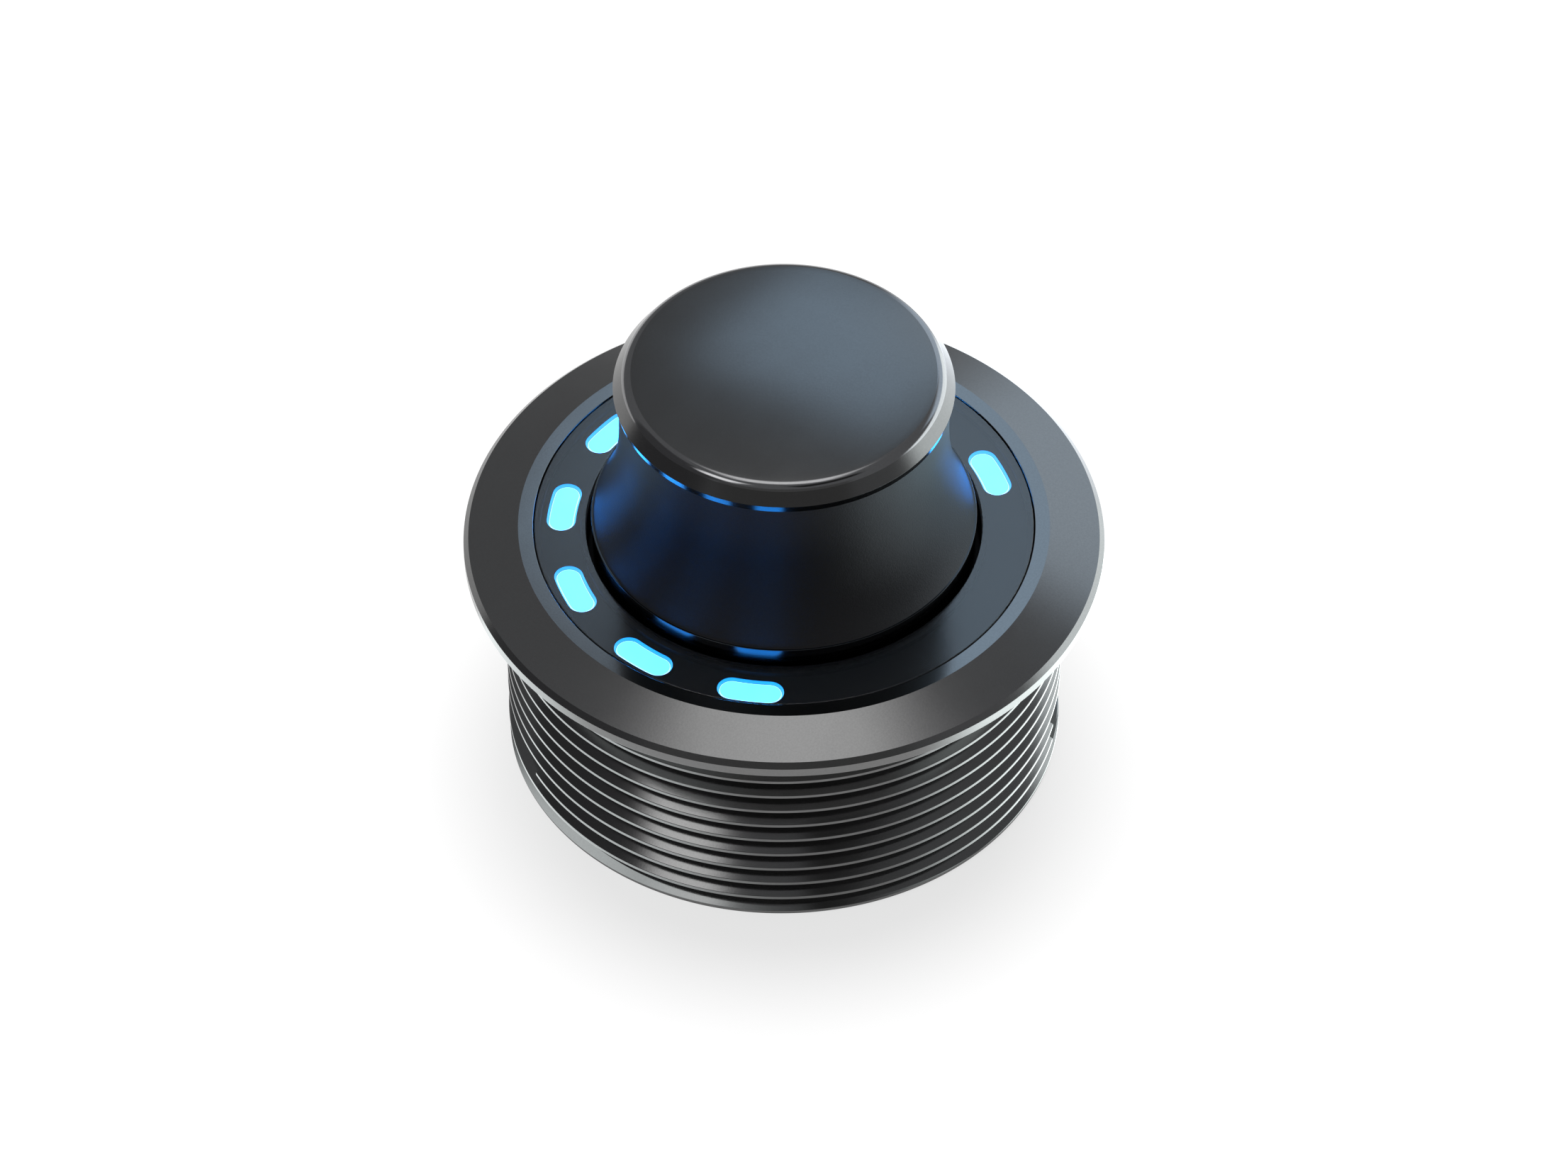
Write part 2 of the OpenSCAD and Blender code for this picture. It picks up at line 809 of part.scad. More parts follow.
module encoder_rotor() {
    clip_room = press_travel + shaft_clip_t + travel_room + 2 * slip_fit;
    color("ivory")
        difference() {
            disc(rotor_r, rotor_z, rotor_t);
            flat_bar(tail_r + running_fit, tail_flat, rotor_z - cut, rotor_t + 2 * cut);
            disc(clip_r + travel_room, frame_z - clip_room, rotor_t + cut);
            for (i = [0:detent_count - 1])
                rotate([0, 0, i * 360 / detent_count])
                    detent_bar(detent_r);
        }
}

module encoder_shaft() {
    color(steel)
        difference() {
            union() {
                flat_bar(tail_r, tail_flat, tail_z, clip_top - tail_z);
                disc(tail_r, clip_top - shaft_clip_t - slip_fit, shaft_clip_t + cut);
                disc(shaft_r, clip_top, bushing_top - clip_top);
                flat_bar(shaft_r, shaft_flat, bushing_top - cut, shaft_top - bushing_top + cut);
            }
            tube(shaft_r + cut, groove_r, clip_top - shaft_clip_t, shaft_clip_t);
        }
}

module shaft_clip() {
    color(steel)
        difference() {
            tube(clip_r, groove_r + slip_fit, clip_top - shaft_clip_t, shaft_clip_t - slip_fit);
            block(clip_r, 0, clip_top - shaft_clip_t - cut, [2 * clip_r, tail_r, shaft_clip_t + 2 * cut]);
        }
}

module knob_insert() {
    flange_out_r = knob_in_r - slip_fit;
    color("dimgray")
        difference() {
            union() {
                disc(hub_r, hub_z, roof_z - hub_z);
                disc(flange_out_r, roof_z - hub_flange_t, hub_flange_t);
                for (i = [0:rib_count - 1])
                    rotate([0, 0, i * 360 / rib_count])
                        translate([shaft_r + hub_wall / 2, -rib_t / 2, hub_clip_z + 2 * hub_clip_t])
                            cube([
                                flange_out_r - shaft_r - hub_wall, rib_t,
                                roof_z - hub_clip_z - 2 * hub_clip_t
                            ]);
            }
            flat_bar(shaft_r + slip_fit, shaft_flat, hub_z - cut, shaft_top - hub_z + cut + slip_fit);
            tube(hub_r + cut, hub_r - hub_clip_t, hub_clip_z, hub_clip_t);
        }
}

module hub_clip() {
    color(steel)
        difference() {
            tube(
                hub_r + hub_clip_t / 2, hub_r - hub_clip_t + slip_fit,
                hub_clip_z + slip_fit, hub_clip_t - 2 * slip_fit
            );
            block(-hub_r, 0, hub_clip_z - cut, [2 * hub_clip_t + hub_r, rib_t, hub_clip_t + 2 * cut]);
        }
}

module knob_shell() {
    top_fillet = disc_r - disc_undercut - neck_r;
    inner_foot_r = foot_r - skirt_wall;
    steps = 12;
    crown_steps = 8;
    lip = [[foot_r, lip_z], [skirt_r, lip_z], [skirt_r, flare_z]];
    flare = [
        for (i = [1:steps])
            let (rise = i / steps)
                [neck_r + (skirt_r - neck_r) * pow(1 - rise, flare_power), flare_z + flare_h * rise]
    ];
    under_disc = arc([neck_r + top_fillet, disc_z - top_fillet], [top_fillet, top_fillet], 180, 90, 5);
    top_round = arc(
        [disc_r - disc_chamfer_w - disc_round_w, knob_top - disc_round_h],
        [disc_round_w, disc_round_h], 0, 82, 6
    );
    top_edge = top_round[len(top_round) - 1];
    crown = [
        for (i = [1:crown_steps])
            let (share = 1 - i / crown_steps)
                [top_edge[0] * share, top_edge[1] + disc_crown * (1 - share * share)]
    ];
    color(anodised)
        rotate_extrude()
            polygon(concat(
                [[inner_foot_r, knob_foot_z], [foot_r, knob_foot_z]],
                lip,
                flare,
                under_disc,
                [[disc_r, disc_z + disc_edge_h]],
                top_round,
                crown,
                [
                    [0, roof_z],
                    [knob_in_r, roof_z],
                    [knob_in_r, flare_z + flare_h / 2],
                    [inner_foot_r, flare_z]
                ]
            ));
}

flange_bezel();
threaded_barrel();
dial_plate();
dial_lens();
light_guide();
rear_cover();
led_board();
led_chips();
main_board();
board_link();
controller_chip();
board_passives();
board_standoffs();
board_screws();
remote_jack();
encoder_cup();
encoder_frame();
encoder_bushing();
encoder_washer();
encoder_nut();
encoder_terminals();
detent_spring();
switch_dome();
encoder_rotor();
encoder_shaft();
shaft_clip();
knob_insert();
hub_clip();
knob_shell();
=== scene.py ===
"""Looks of a panel-mount rotary audio controller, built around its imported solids.

Sizes in the classes are millimetres in the solids' own frame: +Z runs up the knob's axis from the
barrel's bottom face, and -Y points at the middle of the dial's unlit gap.
"""

import json
import logging
import math
from dataclasses import dataclass, field
from enum import Enum, IntEnum
from typing import Callable, Optional, Sequence

import bmesh
import bpy
from mathutils import Matrix, Quaternion, Vector


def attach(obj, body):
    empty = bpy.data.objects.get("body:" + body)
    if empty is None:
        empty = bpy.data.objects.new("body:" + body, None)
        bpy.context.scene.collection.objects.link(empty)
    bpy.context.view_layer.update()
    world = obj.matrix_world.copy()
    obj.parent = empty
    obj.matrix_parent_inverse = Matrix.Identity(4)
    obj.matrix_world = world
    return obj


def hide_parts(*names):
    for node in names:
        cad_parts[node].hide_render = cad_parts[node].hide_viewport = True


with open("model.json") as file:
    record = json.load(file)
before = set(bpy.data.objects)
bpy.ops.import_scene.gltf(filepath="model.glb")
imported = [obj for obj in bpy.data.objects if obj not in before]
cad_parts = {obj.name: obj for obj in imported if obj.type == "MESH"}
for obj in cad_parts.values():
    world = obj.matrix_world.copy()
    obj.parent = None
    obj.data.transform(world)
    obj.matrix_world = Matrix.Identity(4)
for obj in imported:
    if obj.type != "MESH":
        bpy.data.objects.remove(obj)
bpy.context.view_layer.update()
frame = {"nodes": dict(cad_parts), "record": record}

log = logging.getLogger("controller")

MM = 0.001
TURN = 2 * math.pi
# Length that counts as nothing, in millimetres
TINY = 1e-6
# Points closer than this, and edges shorter than this, are merged; in metres
MERGE = 1e-7
SLIVER = 1e-8
# Angle from which an edge stays sharp, in degrees, on plain and on finely rounded pieces
PLAIN_SHARP = 50.0
FINE_SHARP = 40.0
# Largest share of a side that a rounding takes, and the flat beside it as a share of its reach
ROUNDING_SHARE = 0.4
ROUNDING_FLAT = 0.25
# Sockets of the node that mixes two colours
MIX_SHARE, MIX_LOW, MIX_HIGH, MIX_RESULT = 0, 6, 7, 2

Colour = tuple[float, float, float]
Point = tuple[float, float]
Spot = tuple[float, float, float]
Corner = tuple[float, float, float]
Paint = Callable[[Point, Point], int]
Item = bpy.types.Object
Material = bpy.types.Material
Node = bpy.types.Node
Socket = bpy.types.NodeSocket


class Body(Enum):
    """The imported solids' moving groups that carry dressed pieces."""

    HOUSING = "housing"
    KNOB = "knob"


class Slot(Enum):
    """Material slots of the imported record."""

    FLANGE = "flange_metal"
    BARREL = "barrel_metal"
    KNOB = "knob_metal"
    DIAL = "dial_black"
    LENS = "lens_smoke"
    LIT = "lit_guide"
    COVER = "cover_black"


class KnobFace(IntEnum):
    """Faces of the knob, in the order of its finishes."""

    DISC = 0
    SKIRT = 1
    EDGE = 2
    TOP_EDGE = 3


class Graph:
    """Node tree of one material, with short calls for the nodes that the finishes share."""

    def __init__(self, name: str) -> None:
        """Makes an empty material.

        Args:
            name: Name of the material.
        """
        self.material = bpy.data.materials.new(name)
        self.material.use_nodes = True
        self.tree = self.material.node_tree
        self.tree.nodes.clear()
        self.output = self.tree.nodes.new("ShaderNodeOutputMaterial")

    def add(self, kind: str, settings: Optional[dict] = None, **inputs: object) -> Node:
        """Adds a node.

        Args:
            kind: Blender's name of the node, without ShaderNode.
            settings: Properties of the node itself.
            **inputs: Values or sockets for its inputs, with _ for a space.

        Returns:
            The new node.
        """
        node = self.tree.nodes.new("ShaderNode" + kind)
        for key, value in (settings or {}).items():
            setattr(node, key, value)
        for key, value in inputs.items():
            self.feed(node, key.replace("_", " "), value)
        return node

    def feed(self, node: Node, key: object, value: object) -> None:
        """Sets an input of a node, or links a socket to it.

        Args:
            node: The node.
            key: Name or number of the input.
            value: A number, colour or vector, or another node's output socket.
        """
        socket = node.inputs[key]
        if isinstance(value, Socket):
            self.tree.links.new(value, socket)
        elif isinstance(value, tuple) and len(value) == 3 and socket.type == "RGBA":
            socket.default_value = (*value, 1.0)
        else:
            socket.default_value = value

    def place(self) -> Socket:
        """Position on the piece, in metres."""
        return self.add("TexCoord").outputs["Object"]

    def noise(self, scale: float, detail: float, stretch: Spot = (1, 1, 1)) -> Socket:
        """Noise in the piece's own space: grains in a metre, octaves, and a factor on each axis."""
        spot = self.add("Mapping", Vector=self.place(), Scale=stretch).outputs["Vector"]
        return self.add("TexNoise", Vector=spot, Scale=scale, Detail=detail).outputs["Fac"]

    def span(
        self, value: Socket, low: float, high: float,
        ends: Point = (0.25, 0.75), kind: str = "LINEAR",
    ) -> Socket:
        """Maps a value onto another range.

        Args:
            value: Socket to map.
            low: Result at the first end.
            high: Result at the second end.
            ends: The value's range.
            kind: Blender's name of the curve between the ends.

        Returns:
            The mapped socket.
        """
        node = self.add("MapRange", {"interpolation_type": kind}, Value=value)
        for key, number in zip(("From Min", "From Max", "To Min", "To Max"), (*ends, low, high)):
            self.feed(node, key, number)
        return node.outputs["Result"]

    def shade(self, value: Socket, low: Colour, high: Colour) -> Socket:
        """Runs a value from one colour to another.

        Args:
            value: Socket from 0 to 1.
            low: Colour at 0.
            high: Colour at 1.

        Returns:
            The colour's socket.
        """
        node = self.add("Mix", {"data_type": "RGBA"})
        for key, part in ((MIX_SHARE, value), (MIX_LOW, low), (MIX_HIGH, high)):
            self.feed(node, key, part)
        return node.outputs[MIX_RESULT]

    def bump(self, height: Socket, depth: float) -> Socket:
        """Normal of a surface with a height from 0 to 1 and a real depth in millimetres."""
        return self.add("Bump", Height=height, Strength=1.0, Distance=depth * MM).outputs["Normal"]

    def close(self, shader: Node) -> Material:
        """Connects the surface and returns the material."""
        self.tree.links.new(shader.outputs[0], self.output.inputs["Surface"])
        return self.material


@dataclass(frozen=True)
class Finish:
    """A finish of one of the pieces: a fine grain under its colour and gloss."""

    name: str
    colour: Colour
    rough: float
    mottle: float = 0.05
    spread: float = 0.05
    grain: float = 7000.0
    grain_depth: float = 0.004
    detail: float = 2.0
    stretch: Spot = (1, 1, 1)
    metallic: float = 0.0
    edge: Colour = (1.0, 1.0, 1.0)
    gloss: float = 0.5
    cover: float = 1.0
    index: float = 1.5

    def tones(self) -> tuple[Colour, Colour]:
        """A darker and a lighter tone of the colour."""
        darker = tuple(c * (1 - self.mottle) for c in self.colour)
        return darker, tuple(min(1.0, c * (1 + self.mottle)) for c in self.colour)

    def texture(self, graph: Graph) -> Socket:
        """Height of the grain, from 0 to 1."""
        return graph.noise(self.grain, self.detail, self.stretch)

    def patterns(self, graph: Graph, grain: Socket) -> tuple[Socket, Socket]:
        """What the colour follows, and what the roughness follows."""
        return graph.span(grain, 0, 1), grain

    def material(self) -> Material:
        """Makes the finish's material."""
        graph = Graph(self.name)
        grain = self.texture(graph)
        shader = graph.add(
            "BsdfPrincipled", Normal=graph.bump(grain, self.grain_depth), Metallic=self.metallic,
            Specular_Tint=self.edge, Specular_IOR_Level=self.gloss,
            Alpha=self.cover, IOR=self.index,
        )
        tint, wear = self.patterns(graph, grain)
        ends = self.rough - self.spread, self.rough + self.spread
        graph.feed(shader, "Base Color", graph.shade(tint, *self.tones()))
        graph.feed(shader, "Roughness", graph.span(wear, *ends))
        return graph.close(shader)


@dataclass(frozen=True)
class BlastedMetal(Finish):
    """Anodised aluminium with a fine blasted grain."""

    spread: float = 0.02
    metallic: float = 1.0
    cloud: float = 260.0
    cloud_detail: float = 4.0

    def patterns(self, graph: Graph, grain: Socket) -> tuple[Socket, Socket]:
        """The colour follows the grain, the roughness a wide cloud."""
        return graph.span(grain, 0, 1), graph.noise(self.cloud, self.cloud_detail)


@dataclass(frozen=True)
class MouldedPlastic(Finish):
    """Moulded plastic with a fine eroded texture and a slight mottle."""

    mottle: float = 0.1
    grain: float = 5200.0
    grain_depth: float = 0.008
    detail: float = 3.0
    flow: float = 180.0
    flow_stretch: Spot = (1, 1, 3)

    def patterns(self, graph: Graph, grain: Socket) -> tuple[Socket, Socket]:
        """The colour follows the plastic's flow, the roughness the grain."""
        return graph.span(graph.noise(self.flow, self.detail, self.flow_stretch), 0, 1), grain


@dataclass(frozen=True)
class LitPlastic(Finish):
    """Diffusing plastic lit from below, with a slight cloud in its light; the same glow also paints
    light on the slots' walls and a highlight on the guide's edge.
    """

    grain: float = 420.0
    glow: float = 1.0
    body: Colour = (0.02, 0.1, 0.2)

    def material(self) -> Material:
        """Makes the finish's material."""
        graph = Graph(self.name)
        cloud = graph.span(self.texture(graph), 0, 1)
        shader = graph.add("BsdfPrincipled", Base_Color=self.body, Roughness=self.rough)
        graph.feed(shader, "Emission Color", graph.shade(cloud, *self.tones()))
        graph.feed(shader, "Emission Strength", self.glow)
        return graph.close(shader)


@dataclass(frozen=True)
class SmokedLens(Finish):
    """Thin smoked plastic with a fine satin face, which light passes straight through."""

    mottle: float = 0.2
    spread: float = 0.04
    grain: float = 6500.0
    grain_depth: float = 0.003


@dataclass(frozen=True)
class BareMetal(Finish):
    """Plain drawn or plated metal with fine scratches."""

    mottle: float = 0.08
    spread: float = 0.06
    grain: float = 2600.0
    grain_depth: float = 0.003
    detail: float = 4.0
    stretch: Spot = (1, 1, 14)
    metallic: float = 1.0


@dataclass(frozen=True)
class SolderMask(Finish):
    """Glossy board lacquer over a faint glass weave."""

    mottle: float = 0.18
    grain: float = 900.0
    detail: float = 3.0
    distortion: float = 1.5

    def texture(self, graph: Graph) -> Socket:
        """Height of the weave, from 0 to 1."""
        inputs = {"Vector": graph.place(), "Scale": self.grain, "Distortion": self.distortion}
        return graph.add("TexWave", {"wave_type": "BANDS"}, **inputs).outputs["Fac"]

    def patterns(self, graph: Graph, grain: Socket) -> tuple[Socket, Socket]:
        """The colour follows the weave, the roughness a noise as fine."""
        return grain, graph.noise(self.grain, self.detail)


FLANGE_FINISH = BlastedMetal("flange_satin", (0.165, 0.165, 0.165), 0.2, grain_depth=0.001)
BAND_FINISH = BlastedMetal("band_bright", (0.165, 0.165, 0.165), 0.14, grain_depth=0.0005)
BARREL_FINISH = BlastedMetal("barrel_black", (0.14, 0.14, 0.14), 0.15, grain_depth=0.001)
CAP_FINISH = BlastedMetal("knob_cap_satin", (0.13, 0.13, 0.13), 0.22, grain_depth=0.001)
# The skirt's bluish edge tint is a painted sheen: it tints the skirt's grazing reflections blue to
# stand in for the slots' glow and the bluish back light
SKIRT_FINISH = BlastedMetal(
    "knob_skirt_blasted_painted_sheen", (0.055, 0.055, 0.058), 0.54,
    grain=9000.0, grain_depth=0.012, edge=(0.7, 0.88, 1.0),
)
# Depth of the grain that is left on a polished edge
POLISH = 0.0002
CUT_FINISH = BlastedMetal("knob_edge_polished", (0.048, 0.053, 0.058), 0.18, grain_depth=POLISH)
RIM_FINISH = BlastedMetal("knob_top_edge_polished", (0.22, 0.22, 0.225), 0.1, grain_depth=POLISH)
KNOB_FINISHES = (CAP_FINISH, SKIRT_FINISH, CUT_FINISH, RIM_FINISH)
DIAL_FINISH = MouldedPlastic("dial_moulded", (0.004, 0.0043, 0.005), 0.5, gloss=0.06)
LENS_FINISH = SmokedLens(
    "lens_smoke", (0.004, 0.005, 0.0065), 0.19, cover=0.45, index=2.38, grain_depth=0.0015,
)
LENS_BACK_FINISH = SmokedLens("lens_back", (0.004, 0.005, 0.0065), 0.19, cover=0.02, index=1.2)
LIT_FINISH = LitPlastic("guide_glow", (0.02, 0.28, 0.92), 0.4, glow=20.0)
# The guide's eased edge carries a painted highlight: a whiter, brighter glow stands in for the
# glint along the rim of the lit face
GUIDE_EDGE_PAINTED_HIGHLIGHT = LitPlastic("guide_edge_painted_highlight", (0.2, 0.46, 0.92), 0.4, glow=7.2)
# The slots' walls glow with painted light: the black plate's walls emit blue to stand in for the
# guide's light falling on them
SLOT_WALL_PAINTED_GLOW = LitPlastic("slot_wall_painted_glow", (0.008, 0.4, 0.94), 0.4, glow=1.6)
COVER_FINISH = MouldedPlastic("cover_moulded", (0.03, 0.03, 0.033), 0.5)

INNER_FINISHES: dict[str, Finish] = {
    "board_green": SolderMask("board_lacquer", (0.02, 0.14, 0.07), 0.28),
    "lamp_white": MouldedPlastic("lamp_body", (0.85, 0.85, 0.8), 0.35),
    "chip_black": MouldedPlastic("chip_body", (0.025, 0.025, 0.027), 0.45),
    "passive_tan": MouldedPlastic("passive_body", (0.42, 0.3, 0.17), 0.4),
    "plastic_grey": MouldedPlastic("socket_moulded", (0.05, 0.05, 0.053), 0.42),
    "plastic_ivory": MouldedPlastic("rotor_moulded", (0.72, 0.66, 0.52), 0.42),
    "cover_black": COVER_FINISH,
    "steel": BareMetal("plain_steel", (0.56, 0.57, 0.58), 0.3),
    "brass": BareMetal("turned_brass", (0.7, 0.5, 0.22), 0.28),
}


def rounded(corners: Sequence[Corner], steps: int = 4) -> list[Point]:
    """Rounds the corners of a closed outline and keeps its flats flat.

    Args:
        corners: Radius, height and rounding of each corner.
        steps: Faces in each rounding.

    Returns:
        Points of the rounded outline.
    """
    points: list[Point] = []
    for i, (r, z, ease) in enumerate(corners):
        here = Vector((r, z))
        if ease <= 0:
            points.append((r, z))
            continue
        back = Vector(corners[i - 1][:2]) - here
        ahead = Vector(corners[(i + 1) % len(corners)][:2]) - here
        half = back.angle(ahead) / 2
        most = ROUNDING_SHARE * min(back.length, ahead.length)
        reach = min(ease / math.tan(half), most)
        back.normalize()
        ahead.normalize()
        ease = reach * math.tan(half)
        centre = here + (back + ahead).normalized() * (ease / math.sin(half))
        start, end = here + back * reach - centre, here + ahead * reach - centre
        flat = reach + ROUNDING_FLAT * reach
        points.append(tuple(here + back * flat))
        for k in range(steps + 1):
            arm = start.lerp(end, k / steps).normalized() * ease
            points.append(tuple(centre + arm))
        points.append(tuple(here + ahead * flat))
    return points


def arc(centre: Point, size: Point, start: float, end: float, steps: int) -> list[Point]:
    """Points of an elliptic arc.

    Args:
        centre: Middle of the ellipse.
        size: Its two radii.
        start: First angle, in degrees.
        end: Last angle, in degrees.
        steps: Number of chords.

    Returns:
        The points, ends included.
    """
    (x, y), (w, h) = centre, size
    turns = [math.radians(start + (end - start) * i / steps) for i in range(steps + 1)]
    return [(x + w * math.cos(t), y + h * math.sin(t)) for t in turns]


def around(r: float, z: float, turns: Sequence[float]) -> list[Spot]:
    """Points at one radius and height, in the given directions in radians."""
    return [(r * math.cos(t), r * math.sin(t), z) for t in turns]


@dataclass
class Shape:
    """Points and faces of a piece, gathered in millimetres before they become a mesh."""

    points: list[Spot] = field(default_factory=list)
    faces: list[tuple[int, ...]] = field(default_factory=list)
    paints: list[int] = field(default_factory=list)

    def face(self, corners: Sequence[int], paint: int = 0) -> None:
        """Adds a face by the numbers of its points, with the number of its material."""
        self.faces.append(tuple(corners))
        self.paints.append(paint)

    def loop(self, spots: Sequence[Spot]) -> list[int]:
        """Adds a row of points.

        Args:
            spots: The points.

        Returns:
            Their numbers.
        """
        first = len(self.points)
        self.points.extend(spots)
        return list(range(first, len(self.points)))

    def bridge(
        self, low: Sequence[int], high: Sequence[int], paint: int = 0, closed: bool = True,
    ) -> None:
        """Joins two rows of as many points with faces.

        Args:
            low: First row.
            high: Second row.
            paint: Number of the faces' material.
            closed: Whether the rows are rings.
        """
        count = len(low)
        for i in range(count if closed else count - 1):
            j = (i + 1) % count
            self.face((low[i], low[j], high[j], high[i]), paint)

    def spin(
        self, outline: Sequence[Point], sides: int = 288, paint: Paint = lambda a, b: 0,
    ) -> None:
        """Turns a closed outline round the axis.

        Args:
            outline: Radius and height of each point, counterclockwise.
            sides: Number of steps round the axis.
            paint: Gives a stretch of the outline its material's number.
        """
        turns = [TURN * j / sides for j in range(sides)]
        rings: list[list[int]] = []
        for r, z in outline:
            if r < TINY:
                rings.append(self.loop([(0.0, 0.0, z)]) * sides)
            else:
                rings.append(self.loop(around(r, z, turns)))
        for i, low in enumerate(rings):
            after = (i + 1) % len(rings)
            a, b, high = outline[i], outline[after], rings[after]
            if max(a[0], b[0]) < TINY:
                continue
            number = paint(a, b)
            for j in range(sides):
                k = (j + 1) % sides
                corners = [low[j], low[k], high[k], high[j]]
                self.face(list(dict.fromkeys(corners)), number)

    def sweep(self, outline: Sequence[Point], turn: float, span: float, steps: int) -> None:
        """Takes a closed outline part of the way round the axis and closes both ends.

        Args:
            outline: Radius and height of each point, counterclockwise.
            turn: Direction of its middle, in degrees.
            span: Angle that it spans, in degrees.
            steps: Number of chords.
        """
        rows = []
        for i in range(steps + 1):
            t = math.radians(turn + span * (i / steps - 0.5))
            rows.append(self.loop([(r * math.cos(t), r * math.sin(t), z) for r, z in outline]))
        for low, high in zip(rows, rows[1:]):
            self.bridge(low, high)
        self.face(rows[0])
        self.face(rows[-1][::-1])

    def sheet(self, width: float, depth: float) -> None:
        """Adds one flat rectangle round the origin."""
        w, d = width / 2, depth / 2
        self.face(self.loop([(-w, -d, 0), (w, -d, 0), (w, d, 0), (-w, d, 0)]))

    def prism(self, levels: Sequence[tuple[float, Sequence[Point], int]]) -> None:
        """Stacks flat outlines of as many points and closes both ends.

        Args:
            levels: Height of each row, its outline in X and Y, and the material's number of the
                faces above it.
        """
        rows = [self.loop([(x, y, z) for x, y in outline]) for z, outline, _ in levels]
        for low, high, (_, _, paint) in zip(rows, rows[1:], levels):
            self.bridge(low, high, paint)
        self.face(rows[0][::-1], levels[0][2])
        self.face(rows[-1], levels[-1][2])

    def build(
        self, name: str, materials: Sequence[Material], sharp: float = PLAIN_SHARP,
    ) -> Item:
        """Makes the Blender object.

        Args:
            name: Name of the piece.
            materials: Its materials, in the order of the faces' numbers.
            sharp: Angle from which an edge stays sharp, in degrees.

        Returns:
            The object, at the frame's origin.
        """
        mesh = bpy.data.meshes.new(name)
        mesh.from_pydata([[c * MM for c in p] for p in self.points], [], self.faces)
        for polygon, number in zip(mesh.polygons, self.paints):
            polygon.material_index = number
        work = bmesh.new()
        work.from_mesh(mesh)
        bmesh.ops.remove_doubles(work, verts=work.verts, dist=MERGE)
        bmesh.ops.dissolve_degenerate(work, edges=work.edges, dist=SLIVER)
        bmesh.ops.recalc_face_normals(work, faces=work.faces)
        work.to_mesh(mesh)
        work.free()
        for material in materials:
            mesh.materials.append(material)
        item = added(name, mesh)
        smooth(item, sharp)
        return item


def added(name: str, data: bpy.types.ID) -> Item:
    """Adds an object to the scene.

    Args:
        name: Name of the object.
        data: Its mesh, lamp or camera.

    Returns:
        The object.
    """
    item = bpy.data.objects.new(name, data)
    bpy.context.scene.collection.objects.link(item)
    return item


def smooth(item: Item, sharp: float) -> None:
    """Shades a piece smooth apart from edges of a sharper angle, in degrees."""
    item.data.polygons.foreach_set("use_smooth", [True] * len(item.data.polygons))
    item.data.set_sharp_from_angle(angle=math.radians(sharp))


def carve(item: Item, cutters: Sequence[Item], sharp: float = PLAIN_SHARP) -> None:
    """Cuts pieces out of a piece and deletes the cutters.

    Args:
        item: Piece to cut.
        cutters: What is cut away.
        sharp: Angle from which an edge stays sharp, in degrees.
    """
    for cutter in cutters:
        cut = item.modifiers.new("cut", "BOOLEAN")
        cut.operation = "DIFFERENCE"
        cut.solver = "EXACT"
        cut.material_mode = "TRANSFER"
        cut.object = cutter
    depsgraph = bpy.context.evaluated_depsgraph_get()
    result = bpy.data.meshes.new_from_object(item.evaluated_get(depsgraph))
    item.modifiers.clear()
    old = item.data
    item.data = result
    bpy.data.meshes.remove(old)
    for cutter in cutters:
        bpy.data.objects.remove(cutter)
    smooth(item, sharp)


def settle(item: Item, body: Body, slot: Slot, *nodes: str) -> None:
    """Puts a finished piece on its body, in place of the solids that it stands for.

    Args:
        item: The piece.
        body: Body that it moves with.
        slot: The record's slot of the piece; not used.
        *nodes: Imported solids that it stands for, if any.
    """
    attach(item, body.value)
    if nodes:
        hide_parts(*nodes)
    log.info("%s: %d faces, on %s", item.name, len(item.data.polygons), body.value)


@dataclass
class FlangeBezel:
    """The coned flange with its bright band, chamfer, rim and plain collar."""

    outer_r: float = 22.8
    seat_z: float = 17.4
    rim_h: float = 0.7
    chamfer: float = 0.35
    dial_r: float = 17.84
    band_w: float = 1.06
    band_z: float = 19.4
    shoulder_z: float = 17.9
    collar_r: float = 20.0
    collar_in_r: float = 19.0
    collar_z: float = 15.9
    ease: float = 0.035

    def outline(self) -> list[Point]:
        """Section of the flange."""
        edge = self.ease
        rim_top = self.seat_z + self.rim_h
        return rounded([
            (self.dial_r, self.shoulder_z, 0), (self.collar_in_r, self.shoulder_z, 0),
            (self.collar_in_r, self.collar_z, 0), (self.collar_r, self.collar_z, edge),
            (self.collar_r, self.seat_z, 0), (self.outer_r, self.seat_z, edge),
            (self.outer_r, rim_top, edge / 2),
            (self.outer_r - self.chamfer, rim_top + self.chamfer, edge / 2),
            (self.dial_r + self.band_w, self.band_z, edge), (self.dial_r, self.band_z, edge),
        ])

    def build(self) -> None:
        """Builds and dresses the flange."""
        band_end = self.dial_r + self.band_w
        low = self.band_z - 2 * self.ease

        def paint(a: Point, b: Point) -> int:
            """Bright on the band, satin elsewhere."""
            return int(min(a[1], b[1]) > low and max(a[0], b[0]) <= band_end + TINY)

        shape = Shape()
        shape.spin(self.outline(), paint=paint)
        item = shape.build("flange", [FLANGE_FINISH.material(), BAND_FINISH.material()])
        settle(item, Body.HOUSING, Slot.FLANGE, "flange_bezel")


